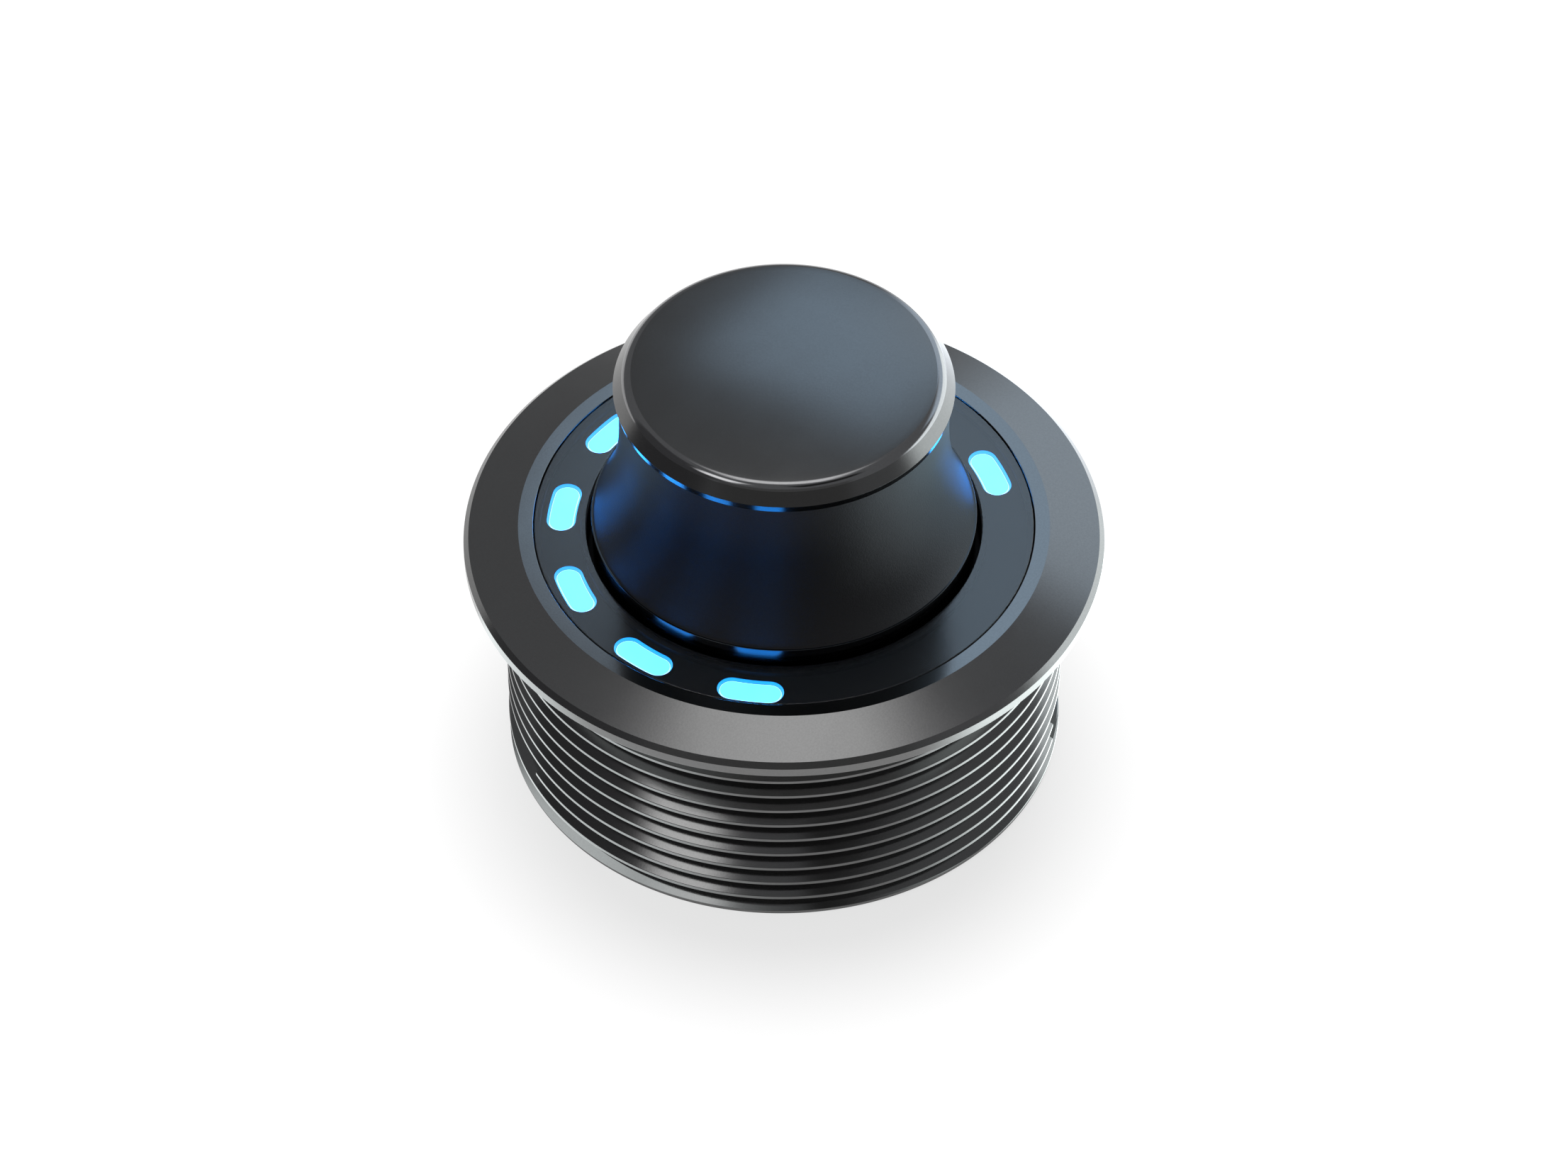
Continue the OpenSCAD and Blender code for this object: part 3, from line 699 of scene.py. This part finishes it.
@dataclass
class ThreadedBarrel:
    """The barrel: a single-start right-hand thread, a stepped bore and two windows."""

    crest_r: float = 19.95
    root_r: float = 19.08
    pitch: float = 1.5
    start: float = 0.76
    crest_flat: float = 0.3
    flank_angle: float = 30.0
    flank_play: float = 0.03
    core_depth: float = 2.0
    height: float = 15.9
    neck_r: float = 18.95
    neck_z: float = 16.9
    upper_bore_r: float = 17.9
    ledge_z: float = 14.4
    bore_r: float = 17.3
    ease: float = 0.05
    ease_steps: int = 3
    spare_turns: int = 2
    columns: int = 288
    window_turns: Point = (135.0, 315.0)
    window_span: float = 41.0
    window_steps: int = 48
    window_heights: Point = (1.9, 4.3)
    cut_over: float = 1.0

    def tooth(self) -> list[Point]:
        """One pitch of the thread: height over a crest's middle, and radius."""
        depth = self.crest_r - self.root_r
        flank = depth * math.tan(math.radians(self.flank_angle)) + self.flank_play
        half = self.crest_flat / 2
        end = self.pitch - half
        rows = rounded([
            (self.crest_r, -half, self.ease),
            (self.crest_r, half, self.ease),
            (self.root_r, half + flank, self.ease),
            (self.root_r, end - flank, self.ease),
            (self.crest_r, end, 0),
            (self.crest_r - self.core_depth, self.pitch / 2, 0),
        ], self.ease_steps)
        last = rows.index((self.crest_r, end))
        return [(z, r) for r, z in rows[:last] if z < end - TINY]

    def radius_at(self, rows: Sequence[Point], z: float) -> float:
        """Radius of the thread at a height, between rows that rise.

        Args:
            rows: Height and radius of each row of one column.
            z: The height.

        Returns:
            The radius.
        """
        for (za, ra), (zb, rb) in zip(rows, rows[1:]):
            if za <= z <= zb:
                share = (z - za) / (zb - za) if zb > za else 0.0
                return ra + (rb - ra) * share
        return self.root_r

    def window(self, number: int, turn: float) -> Item:
        """Shape of one window, past both sides of the wall.

        Args:
            number: Number of the window.
            turn: Direction of its middle, in degrees.

        Returns:
            The object to cut with.
        """
        near, far = self.bore_r - self.cut_over, self.crest_r + self.cut_over
        low, high = self.window_heights
        outline = [(near, low), (far, low), (far, high), (near, high)]
        shape = Shape()
        shape.sweep(outline, turn, self.window_span, self.window_steps)
        return shape.build(f"window_{number}", [])

    def build(self) -> None:
        """Builds and dresses the barrel."""
        tooth = self.tooth()
        count = math.ceil(self.height / self.pitch) + 2 * self.spare_turns
        low = self.start - self.spare_turns * self.pitch
        turns = [TURN * j / self.columns for j in range(self.columns + 1)]
        shape = Shape()
        columns = []
        for j, turn in enumerate(turns):
            rise = low + self.pitch * j / self.columns
            rows = [(rise + n * self.pitch + z, r) for n in range(count) for z, r in tooth]
            ends = {z: self.radius_at(rows, z) for z in (0.0, self.height)}
            column = []
            for z, r in rows:
                if z < 0 or z > self.height:
                    z = min(max(z, 0.0), self.height)
                    r = ends[z]
                column.append((r * math.cos(turn), r * math.sin(turn), z))
            columns.append(shape.loop(column))
        for left, right in zip(columns, columns[1:]):
            shape.bridge(left, right, closed=False)
        inner = [
            (self.neck_r, self.height), (self.neck_r, self.neck_z),
            (self.upper_bore_r, self.neck_z), (self.upper_bore_r, self.ledge_z),
            (self.bore_r, self.ledge_z), (self.bore_r, 0.0),
        ]
        rings = [shape.loop(around(r, z, turns)) for r, z in inner]
        rings = [[c[-1] for c in columns], *rings, [c[0] for c in columns]]
        for a, b in zip(rings, rings[1:]):
            shape.bridge(a, b, closed=False)
        item = shape.build("barrel", [BARREL_FINISH.material()], FINE_SHARP)
        carve(item, [self.window(i, t) for i, t in enumerate(self.window_turns)], FINE_SHARP)
        settle(item, Body.HOUSING, Slot.BARREL, "threaded_barrel")


@dataclass
class SlotRow:
    """The curved slots of the dial, shared by the dial plate and the light guide."""

    radius: float = 15.89
    width: float = 2.06
    span: float = 17.0
    step: float = 30.0
    count: int = 9
    first: float = 330.0
    draft: float = 0.13
    end_steps: int = 20
    side_steps: int = 24

    def turns(self) -> list[float]:
        """Directions of the slots' middles, in degrees."""
        return [self.first + self.step * i for i in range(self.count)]

    def outline(self, turn: float, inset: float) -> list[Point]:
        """Outline of one slot, counterclockwise from the start of its outer side.

        Args:
            turn: Direction of its middle, in degrees.
            inset: Distance by which it is drawn in.

        Returns:
            The points, in X and Y.
        """
        half = self.width / 2 - inset
        end = self.span / 2 - math.degrees(math.asin(self.width / 2 / self.radius))
        points: list[Point] = []
        for side in (1, -1):
            r, t = self.radius + side * half, turn + side * end
            points += arc((0, 0), (r, r), turn - side * end, t, self.side_steps)[:-1]
            centre = arc((0, 0), (self.radius, self.radius), t, t, 1)[0]
            face = t if side > 0 else t + 180
            points += arc(centre, (half, half), face, face + 180, self.end_steps)[:-1]
        return points


@dataclass
class DialPlate:
    """The sunk dial plate with its slots, the lens's two ledges and the well under the knob."""

    slots: SlotRow = field(default_factory=SlotRow)
    lens_z: float = 18.97
    ledges: Point = (14.44, 17.34)
    floor_z: float = 18.6
    lit_z: float = 18.4
    under_z: float = 17.4
    well_r: float = 14.04
    well_out_r: float = 14.79
    well_floor_z: float = 16.2
    well_under_z: float = 15.0
    bushing_hole_r: float = 4.55
    rim_r: float = 17.74
    shoulder_z: float = 17.9
    flange_r: float = 18.9
    clamp_z: float = 16.9
    bore_r: float = 17.9
    ease: float = 0.03
    well_ease: float = 0.12
    slot_ease: float = 0.03
    slot_ease_steps: int = 4
    wall_below: float = 0.02
    cut_below: float = 1.0
    cut_above: float = 0.2
    sides: int = 360

    def outline(self) -> list[Point]:
        """Section of the plate, without its slots."""
        edge = self.ease
        inner, outer = self.ledges
        return rounded([
            (self.bushing_hole_r, self.well_under_z, 0), (self.well_out_r, self.well_under_z, edge),
            (self.well_out_r, self.under_z, 0), (self.bore_r, self.under_z, 0),
            (self.bore_r, self.clamp_z, 0), (self.flange_r, self.clamp_z, 0),
            (self.flange_r, self.shoulder_z, 0), (self.rim_r, self.shoulder_z, 0),
            (self.rim_r, self.lens_z, edge), (outer, self.lens_z, edge),
            (outer, self.floor_z, edge), (inner, self.floor_z, edge),
            (inner, self.lens_z, edge), (self.well_r, self.lens_z, edge),
            (self.well_r, self.well_floor_z, self.well_ease),
            (self.bushing_hole_r, self.well_floor_z, 0),
        ])

    def cutter(self, number: int, turn: float, materials: Sequence[Material]) -> Item:
        """Shape of one slot: straight below the lit face, then drafted walls and an eased edge.

        Args:
            number: Number of the slot.
            turn: Direction of its middle, in degrees.
            materials: Materials of the plate and of the walls' painted glow.

        Returns:
            The object to cut with.
        """
        draft, ease, top = self.slots.draft, self.slot_ease, self.floor_z
        edge = arc((-ease, top - ease), (ease, ease), 0, 90, self.slot_ease_steps)
        levels = [
            (self.under_z - self.cut_below, draft, 0),
            # Faces from just under the guide's lit face up to the eased edge take the walls'
            # painted glow
            (self.lit_z - self.wall_below, draft, 1),
            *((z, inset, 0) for inset, z in edge),
            (top + self.cut_above, -ease, 0),
        ]
        shape = Shape()
        shape.prism([(z, self.slots.outline(turn, inset), paint) for z, inset, paint in levels])
        return shape.build(f"slot_{number}", materials)

    def build(self) -> None:
        """Builds and dresses the dial plate."""
        materials = [DIAL_FINISH.material(), SLOT_WALL_PAINTED_GLOW.material()]
        shape = Shape()
        shape.spin(self.outline(), self.sides)
        item = shape.build("dial", materials, FINE_SHARP)
        cutters = [self.cutter(i, turn, materials) for i, turn in enumerate(self.slots.turns())]
        carve(item, cutters, FINE_SHARP)
        settle(item, Body.HOUSING, Slot.DIAL, "dial_plate")


@dataclass
class DialLens:
    """The smoked ring over the dial plate, level with the flange's band."""

    radii: Point = (14.09, 17.74)
    heights: Point = (18.97, 19.37)
    ease: float = 0.04
    sides: int = 360

    def build(self) -> None:
        """Builds and dresses the lens."""
        (inner, outer), (low, high) = self.radii, self.heights

        def paint(a: Point, b: Point) -> int:
            """Satin on the face, clear on the back and sides."""
            return int(max(a[1], b[1]) < high - self.ease / 2)

        shape = Shape()
        shape.spin(rounded([
            (inner, low, 0), (outer, low, 0), (outer, high, self.ease), (inner, high, self.ease),
        ]), self.sides, paint)
        materials = [LENS_FINISH.material(), LENS_BACK_FINISH.material()]
        item = shape.build("smoked_lens", materials, FINE_SHARP)
        settle(item, Body.HOUSING, Slot.LENS, "dial_lens")


@dataclass
class LightGuide:
    """The lit guide: a ring under the dial on a skirt, with a lobe up each slot."""

    slots: SlotRow = field(default_factory=SlotRow)
    inner_r: float = 14.84
    skirt_r: float = 17.35
    outer_r: float = 17.8
    skirt_z: float = 15.4
    bottom_z: float = 16.4
    top_z: float = 17.39
    lit_z: float = 18.4
    lobe_gap: float = 0.005
    play: float = 0.02
    ease: float = 0.05
    ease_steps: int = 3
    sides: int = 180

    def build(self) -> None:
        """Builds and dresses the light guide."""
        shape = Shape()
        shape.spin([
            (self.inner_r, self.bottom_z), (self.skirt_r, self.bottom_z),
            (self.skirt_r, self.skirt_z), (self.outer_r, self.skirt_z),
            (self.outer_r, self.top_z), (self.inner_r, self.top_z),
        ], self.sides)
        side, ease = self.slots.draft + self.play, self.ease
        edge = arc((side + ease, self.lit_z - ease), (ease, ease), 180, 90, self.ease_steps)
        levels = [
            (self.top_z + self.lobe_gap, side, 0),
            # The eased edge of each lobe takes the painted highlight
            *((z, inset, 1) for inset, z in edge[:-1]),
            (edge[-1][1], edge[-1][0], 0),
        ]
        for turn in self.slots.turns():
            shape.prism([(z, self.slots.outline(turn, inset), paint) for z, inset, paint in levels])
        materials = [LIT_FINISH.material(), GUIDE_EDGE_PAINTED_HIGHLIGHT.material()]
        item = shape.build("lit_slots", materials, FINE_SHARP)
        settle(item, Body.HOUSING, Slot.LIT, "light_guide")


@dataclass
class Knob:
    """The turned, hollow knob with its flared skirt, the lip over its foot, and its disc top."""

    foot_z: float = 17.0
    skirt_r: float = 13.69
    lip_z: float = 20.4
    lip_h: float = 0.1
    lip_step: float = 0.06
    lip_ledge: float = 0.12
    neck_r: float = 11.6
    flare_h: float = 9.3
    flare_power: float = 2.4
    disc_r: float = 11.98
    rim_z: float = 32.99
    undercut: Point = (0.16, 0.6)
    fillet_turns: Point = (180.0, 92.0)
    fillet_steps: int = 8
    chamfer: Point = (0.84, 1.25)
    rounding: float = 0.42
    rounding_steps: int = 12
    crown: float = 0.74
    crown_steps: int = 24
    roof_z: float = 31.54
    wall: float = 1.3
    skirt_wall: float = 1.04
    ease: float = 0.03
    flare_steps: int = 48

    def top_edge(self) -> list[Point]:
        """Rounding between the chamfer and the crowned top."""
        corner = Vector((self.disc_r - self.chamfer[0], self.rim_z + self.chamfer[1]))
        before = Vector((self.chamfer[0], -self.chamfer[1])).normalized() * self.rounding
        after = Vector((-corner.x, 2 * self.crown)).normalized() * self.rounding
        edge = []
        for i in range(self.rounding_steps + 1):
            share = i / self.rounding_steps
            edge.append(tuple(corner + before * (1 - share) ** 2 + after * share ** 2))
        return edge

    def outline(self) -> list[Point]:
        """Section of the knob."""
        flare_z = self.lip_z + self.lip_h
        foot_r = self.skirt_r - self.lip_step
        flare = []
        for i in range(self.flare_steps + 1):
            rise = i / self.flare_steps
            width = (self.skirt_r - self.lip_ledge - self.neck_r) * (1 - rise) ** self.flare_power
            flare.append((self.neck_r + width, flare_z + self.flare_h * rise))
        disc_z = self.rim_z - self.undercut[1]
        fillet = self.disc_r - self.undercut[0] - self.neck_r
        middle = (self.neck_r + fillet, disc_z - fillet)
        under = arc(middle, (fillet, fillet), *self.fillet_turns, self.fillet_steps)
        top = self.top_edge()
        edge_r, edge_z = top[-1]
        rise = self.rim_z + self.chamfer[1] + self.crown - edge_z
        shares = [1 - i / self.crown_steps for i in range(1, self.crown_steps + 1)]
        top += [(edge_r * share, edge_z + rise * (1 - share * share)) for share in shares]
        inner_r = foot_r - self.skirt_wall
        edge = self.ease
        return rounded([
            (inner_r, self.foot_z, edge), (foot_r, self.foot_z, edge), (foot_r, self.lip_z, 0),
            (self.skirt_r, self.lip_z, edge), (self.skirt_r, flare_z, edge),
            *((r, z, 0.0) for r, z in [*flare, *under]),
            (self.neck_r + fillet, disc_z, edge), (self.disc_r, self.rim_z, edge),
            *((r, z, 0.0) for r, z in top),
            (0.0, self.roof_z, 0), (self.neck_r - self.wall, self.roof_z, 0),
            (self.neck_r - self.wall, flare_z + self.flare_h / 2, 0), (inner_r, flare_z, 0),
        ])

    def build(self) -> None:
        """Builds and dresses the knob."""
        edge = self.top_edge()
        disc_z = self.rim_z - self.undercut[1]
        levels = (self.lip_z + self.lip_h, disc_z, self.rim_z, edge[0][1], edge[-1][1])
        faces = (
            KnobFace.EDGE, KnobFace.SKIRT, KnobFace.EDGE,
            KnobFace.DISC, KnobFace.TOP_EDGE, KnobFace.DISC,
        )

        def paint(a: Point, b: Point) -> int:
            """The face that a stretch's middle height falls in."""
            return faces[sum((a[1] + b[1]) / 2 > level for level in levels)]

        shape = Shape()
        shape.spin(self.outline(), paint=paint)
        materials = [finish.material() for finish in KNOB_FINISHES]
        item = shape.build("knob_cap", materials, FINE_SHARP)
        settle(item, Body.KNOB, Slot.KNOB, "knob_shell")


@dataclass
class RearCover:
    """The rear cover with its two snap tongues and the socket's hole."""

    radius: float = 17.2
    heights: Point = (0.2, 1.4)
    tongue: Point = (16.05, 17.15)
    tongue_top: float = 4.7
    tongue_gap: float = 0.01
    tongue_ease: float = 0.1
    hook_r: float = 18.78
    hook: Point = (2.05, 4.15)
    hook_ease: float = 0.06
    hook_turns: Point = (135.0, 315.0)
    hook_span: float = 37.0
    hook_steps: int = 40
    socket_at: float = 11.0
    socket_r: float = 2.85
    socket_sides: int = 64
    cut_over: float = 1.0
    ease: float = 0.15
    sides: int = 192

    def tongue_shape(self, turn: float) -> Shape:
        """One snap tongue, standing on the cover.

        Args:
            turn: Direction of its middle, in degrees.

        Returns:
            Its shape.
        """
        inner, outer = self.tongue
        foot, top = self.heights[1] + self.tongue_gap, self.tongue_top
        low, high = self.hook
        shape = Shape()
        shape.sweep(rounded([
            (inner, foot, 0), (outer, foot, 0), (outer, low, 0),
            (self.hook_r, low, self.hook_ease), (self.hook_r, high, self.hook_ease),
            (outer, high, 0), (outer, top, self.tongue_ease), (inner, top, self.tongue_ease),
        ]), turn, self.hook_span, self.hook_steps)
        return shape

    def build(self) -> None:
        """Builds and dresses the rear cover."""
        finish = COVER_FINISH.material()
        low, high = self.heights
        shape = Shape()
        shape.spin(rounded([
            (0.0, low, 0), (self.radius, low, self.ease), (self.radius, high, 0), (0.0, high, 0),
        ]), self.sides)
        item = shape.build("rear_plate", [finish])
        below, above = low - self.cut_over, high + self.cut_over
        hole = Shape()
        hole.spin([
            (0.0, below), (self.socket_r, below), (self.socket_r, above), (0.0, above),
        ], self.socket_sides)
        cutter = hole.build("socket_hole", [])
        cutter.location = (0, self.socket_at * MM, 0)
        bpy.context.view_layer.update()
        carve(item, [cutter])
        settle(item, Body.HOUSING, Slot.COVER, "rear_cover")
        for i, turn in enumerate(self.hook_turns):
            tongue = self.tongue_shape(turn).build(f"snap_tongue_{i}", [finish])
            settle(tongue, Body.HOUSING, Slot.COVER)


@dataclass
class InnerWorks:
    """The boards, encoder and fasteners inside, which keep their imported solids."""

    finishes: dict[str, Finish] = field(default_factory=lambda: INNER_FINISHES)

    def dress(self) -> None:
        """Gives each inner solid a finish by its record slot."""
        slots = {s["node"]: s["material_slot"] for s in frame["record"]["subparts"]}
        made: dict[str, Material] = {}
        for node, item in frame["nodes"].items():
            slot = slots[node]
            if slot not in self.finishes:
                continue
            if slot not in made:
                made[slot] = self.finishes[slot].material()
            for spot in item.material_slots:
                spot.material = made[slot]
            log.info("%s: %s", node, made[slot].name)


def hide(item: Item) -> None:
    """Marks a piece of the studio that only reflections see.

    Args:
        item: The card or tent.
    """
    item.visible_camera = False
    item.visible_diffuse = False
    item.visible_shadow = False


@dataclass(frozen=True)
class Card:
    """A softbox or flag of the studio, which only reflections see.

    Its place is in the camera's frame: right, back and up from the foot of the object's axis.
    """

    name: str
    place: Spot
    size: Point
    colour: Colour
    fade: float = 0.5
    roll: float = 0.0
    flat: bool = False
    aim: Spot = (0.0, 0.0, 20.0)

    def finish(self) -> Material:
        """Light of the card, clear towards its edges."""
        graph = Graph(self.name)
        parts = graph.add("SeparateXYZ", Vector=graph.place())
        shares = []
        for axis, length in zip("XY", self.size):
            share = graph.add("Math", {"operation": "ABSOLUTE"})
            graph.feed(share, 0, parts.outputs[axis])
            half = length * MM / 2
            ends = half * (1 - self.fade), half
            shares.append(graph.span(share.outputs[0], 1, 0, ends, "SMOOTHSTEP"))
        share = graph.add("Math", {"operation": "MULTIPLY"})
        for key, socket in enumerate(shares):
            graph.feed(share, key, socket)
        clear = graph.add("BsdfTransparent")
        light = graph.add("Emission", Color=self.colour, Strength=1.0)
        mix = graph.add("MixShader")
        for key, socket in enumerate((share.outputs[0], clear.outputs[0], light.outputs[0])):
            graph.feed(mix, key, socket)
        return graph.close(mix)

    def build(self, azimuth: float) -> None:
        """Hangs the card facing its aim, or lays it flat to face up.

        Args:
            azimuth: The camera's azimuth, in degrees.
        """
        shape = Shape()
        shape.sheet(*self.size)
        item = shape.build(self.name, [self.finish()])
        turn = Matrix.Rotation(math.radians(azimuth), 4, "Z")
        place, aim = turn @ Vector(self.place), turn @ Vector(self.aim)
        item.location = place * MM
        ahead = Vector((0, 0, 1)) if self.flat else aim - place
        facing = ahead.to_track_quat("Z", "Y")
        item.rotation_euler = (facing @ Quaternion((0, 0, 1), math.radians(self.roll))).to_euler()
        hide(item)


CARDS = (
    Card("top_box", (0.0, 25.0, 215.0), (135.0, 110.0), (2.0, 2.0, 2.0), 0.6),
    Card("key_box", (-68.0, -57.0, 145.0), (72.0, 60.0), (2.9, 2.9, 2.9), 0.6),
    Card("back_box", (21.4, 145.0, 155.9), (84.6, 79.8), (1.0, 1.33, 1.68), 0.2, 27.5),
    Card("right_box", (96.0, 115.0, 87.0), (170.0, 150.0), (1.15, 1.35, 1.55), 0.4),
    Card("low_box", (127.0, 59.0, 40.0), (230.0, 105.0), (2.9, 3.1, 3.12), 0.4),
    Card("right_sheet", (65.0, 70.0, 0.4), (130.0, 110.0), (2.5, 2.65, 2.8), 0.4, flat=True),
    Card("near_sheet", (38.0, -4.0, 0.5), (64.0, 90.0), (4.0, 4.35, 4.3), 0.5, flat=True),
    Card("left_near_sheet", (-33.0, -6.0, 0.5), (24.0, 76.0), (2.6, 2.75, 2.75), flat=True),
    Card("thread_flag", (39.0, -52.0, 150.0), (84.0, 44.0), (0.05, 0.05, 0.05), 0.3),
    Card("front_flag", (0.0, -140.0, 70.0), (250.0, 150.0), (0.17, 0.17, 0.17), 0.2),
    Card("left_flag", (-125.0, -30.0, 90.0), (180.0, 200.0), (0.12, 0.12, 0.125), 0.3),
)


@dataclass(frozen=True)
class Tent:
    """A dim tent round the studio, which only reflections see.

    In front it has a dark sheet on the floor. Behind the object its foot is open to the floor.
    """

    floor: Point = (45.0, 165.0)
    sheet_z: float = 0.2
    wall: tuple[Point, ...] = ((190.0, 60.0), (190.0, 160.0), (120.0, 250.0), (0.0, 270.0))
    sheet: Colour = (0.1, 0.1, 0.105)
    cloth: Colour = (0.275, 0.28, 0.288)
    open_span: float = 150.0
    steps: int = 72

    def build(self, azimuth: float) -> None:
        """Pitches the tent.

        Args:
            azimuth: The camera's azimuth, in degrees.
        """
        rows = [(self.floor[0], self.sheet_z), (self.floor[1], self.sheet_z), *self.wall]
        shape = Shape()
        turns = [TURN * j / self.steps for j in range(self.steps)]
        rings = []
        for r, z in rows:
            rings.append(shape.loop([(-r * math.sin(t), r * math.cos(t), z) for t in turns]))
        shut = int(self.open_span / 2 / 360 * self.steps)
        for paint, (low, high) in enumerate(zip(rings[:2], rings[1:3])):
            for j in range(shut, self.steps - shut):
                k = j + 1 - self.steps
                shape.face([low[j], low[k], high[k], high[j]], paint)
        for low, high in zip(rings[2:], rings[3:]):
            shape.bridge(low, high, 1)
        materials = []
        for name, colour in (("tent_sheet", self.sheet), ("tent_cloth", self.cloth)):
            graph = Graph(name)
            materials.append(graph.close(graph.add("Emission", Color=colour, Strength=1.0)))
        item = shape.build("tent", materials)
        item.rotation_euler.z = math.radians(azimuth)
        hide(item)


def heading(azimuth: float, elevation: float) -> Vector:
    """Direction from the object at degrees round it from -Y, and degrees above the floor."""
    a, e = math.radians(azimuth), math.radians(elevation)
    return Vector((math.sin(a) * math.cos(e), -math.cos(a) * math.cos(e), math.sin(e)))


@dataclass
class Studio:
    """Camera, floor, world, lamp, tent and cards."""

    azimuth: float = -51.5
    elevation: float = 45.8
    distance: float = 609.0
    aim_z: float = 12.71
    lens: float = 195.3
    sensor: float = 36.0
    clip: Point = (10.0, 50000.0)
    floor_size: float = 6000.0
    floor_drop: float = 0.02
    floor_glow: float = 0.67
    floor_tone: Colour = (0.17, 0.17, 0.17)
    lamp_elevation: float = 70.0
    lamp_strength: float = 5.2
    lamp_spread: float = 42.0
    cards: tuple[Card, ...] = CARDS

    def floor(self) -> None:
        """Lays the pale floor, which keeps a soft shadow of the object."""
        shape = Shape()
        shape.sheet(self.floor_size, self.floor_size)
        graph = Graph("floor_white")
        own = graph.add("Emission", Color=(1.0, 1.0, 1.0), Strength=self.floor_glow)
        lit = graph.add("BsdfDiffuse", Color=self.floor_tone)
        both = graph.add("AddShader")
        for key, part in enumerate((own, lit)):
            graph.feed(both, key, part.outputs[0])
        item = shape.build("floor", [graph.close(both)])
        item.location = (0, 0, -self.floor_drop * MM)

    def world(self) -> None:
        """Sets a plain white world."""
        world = bpy.data.worlds.new("studio")
        bpy.context.scene.world = world
        world.use_nodes = True
        back = world.node_tree.nodes["Background"]
        back.inputs["Color"].default_value = (1, 1, 1, 1)
        back.inputs["Strength"].default_value = 1.0

    def lamp(self) -> None:
        """Hangs a broad lamp high behind the object, for the floor's shadow only."""
        data = bpy.data.lights.new("back_lamp", "SUN")
        data.energy = self.lamp_strength
        data.angle = math.radians(self.lamp_spread)
        item = added("back_lamp", data)
        item.visible_glossy = False
        away = heading(self.azimuth + 180, self.lamp_elevation)
        item.rotation_euler = away.to_track_quat("Z", "Y").to_euler()

    def camera(self) -> None:
        """Sets the camera at the photograph's angle."""
        data = bpy.data.cameras.new("camera")
        data.sensor_fit = "HORIZONTAL"
        data.sensor_width = self.sensor
        data.lens = self.lens
        data.clip_start, data.clip_end = (reach * MM for reach in self.clip)
        away = heading(self.azimuth, self.elevation)
        item = added("camera", data)
        item.rotation_euler = away.to_track_quat("Z", "Y").to_euler()
        item.location = Vector((0, 0, self.aim_z * MM)) + away * self.distance * MM
        bpy.context.scene.camera = item

    def build(self) -> None:
        """Sets up the whole studio."""
        self.camera()
        self.floor()
        self.world()
        self.lamp()
        Tent().build(self.azimuth)
        for card in self.cards:
            card.build(self.azimuth)
        bpy.context.scene.view_settings.view_transform = "Standard"


def main() -> None:
    """Builds the studio and every sub-assembly in order."""
    logging.basicConfig(level=logging.INFO, format="%(name)s: %(message)s")
    Studio().build()
    parts = (FlangeBezel, ThreadedBarrel, DialPlate, DialLens, LightGuide, Knob, RearCover)
    for part in parts:
        part().build()
    InnerWorks().dress()


if __name__ == "__main__":
    main()
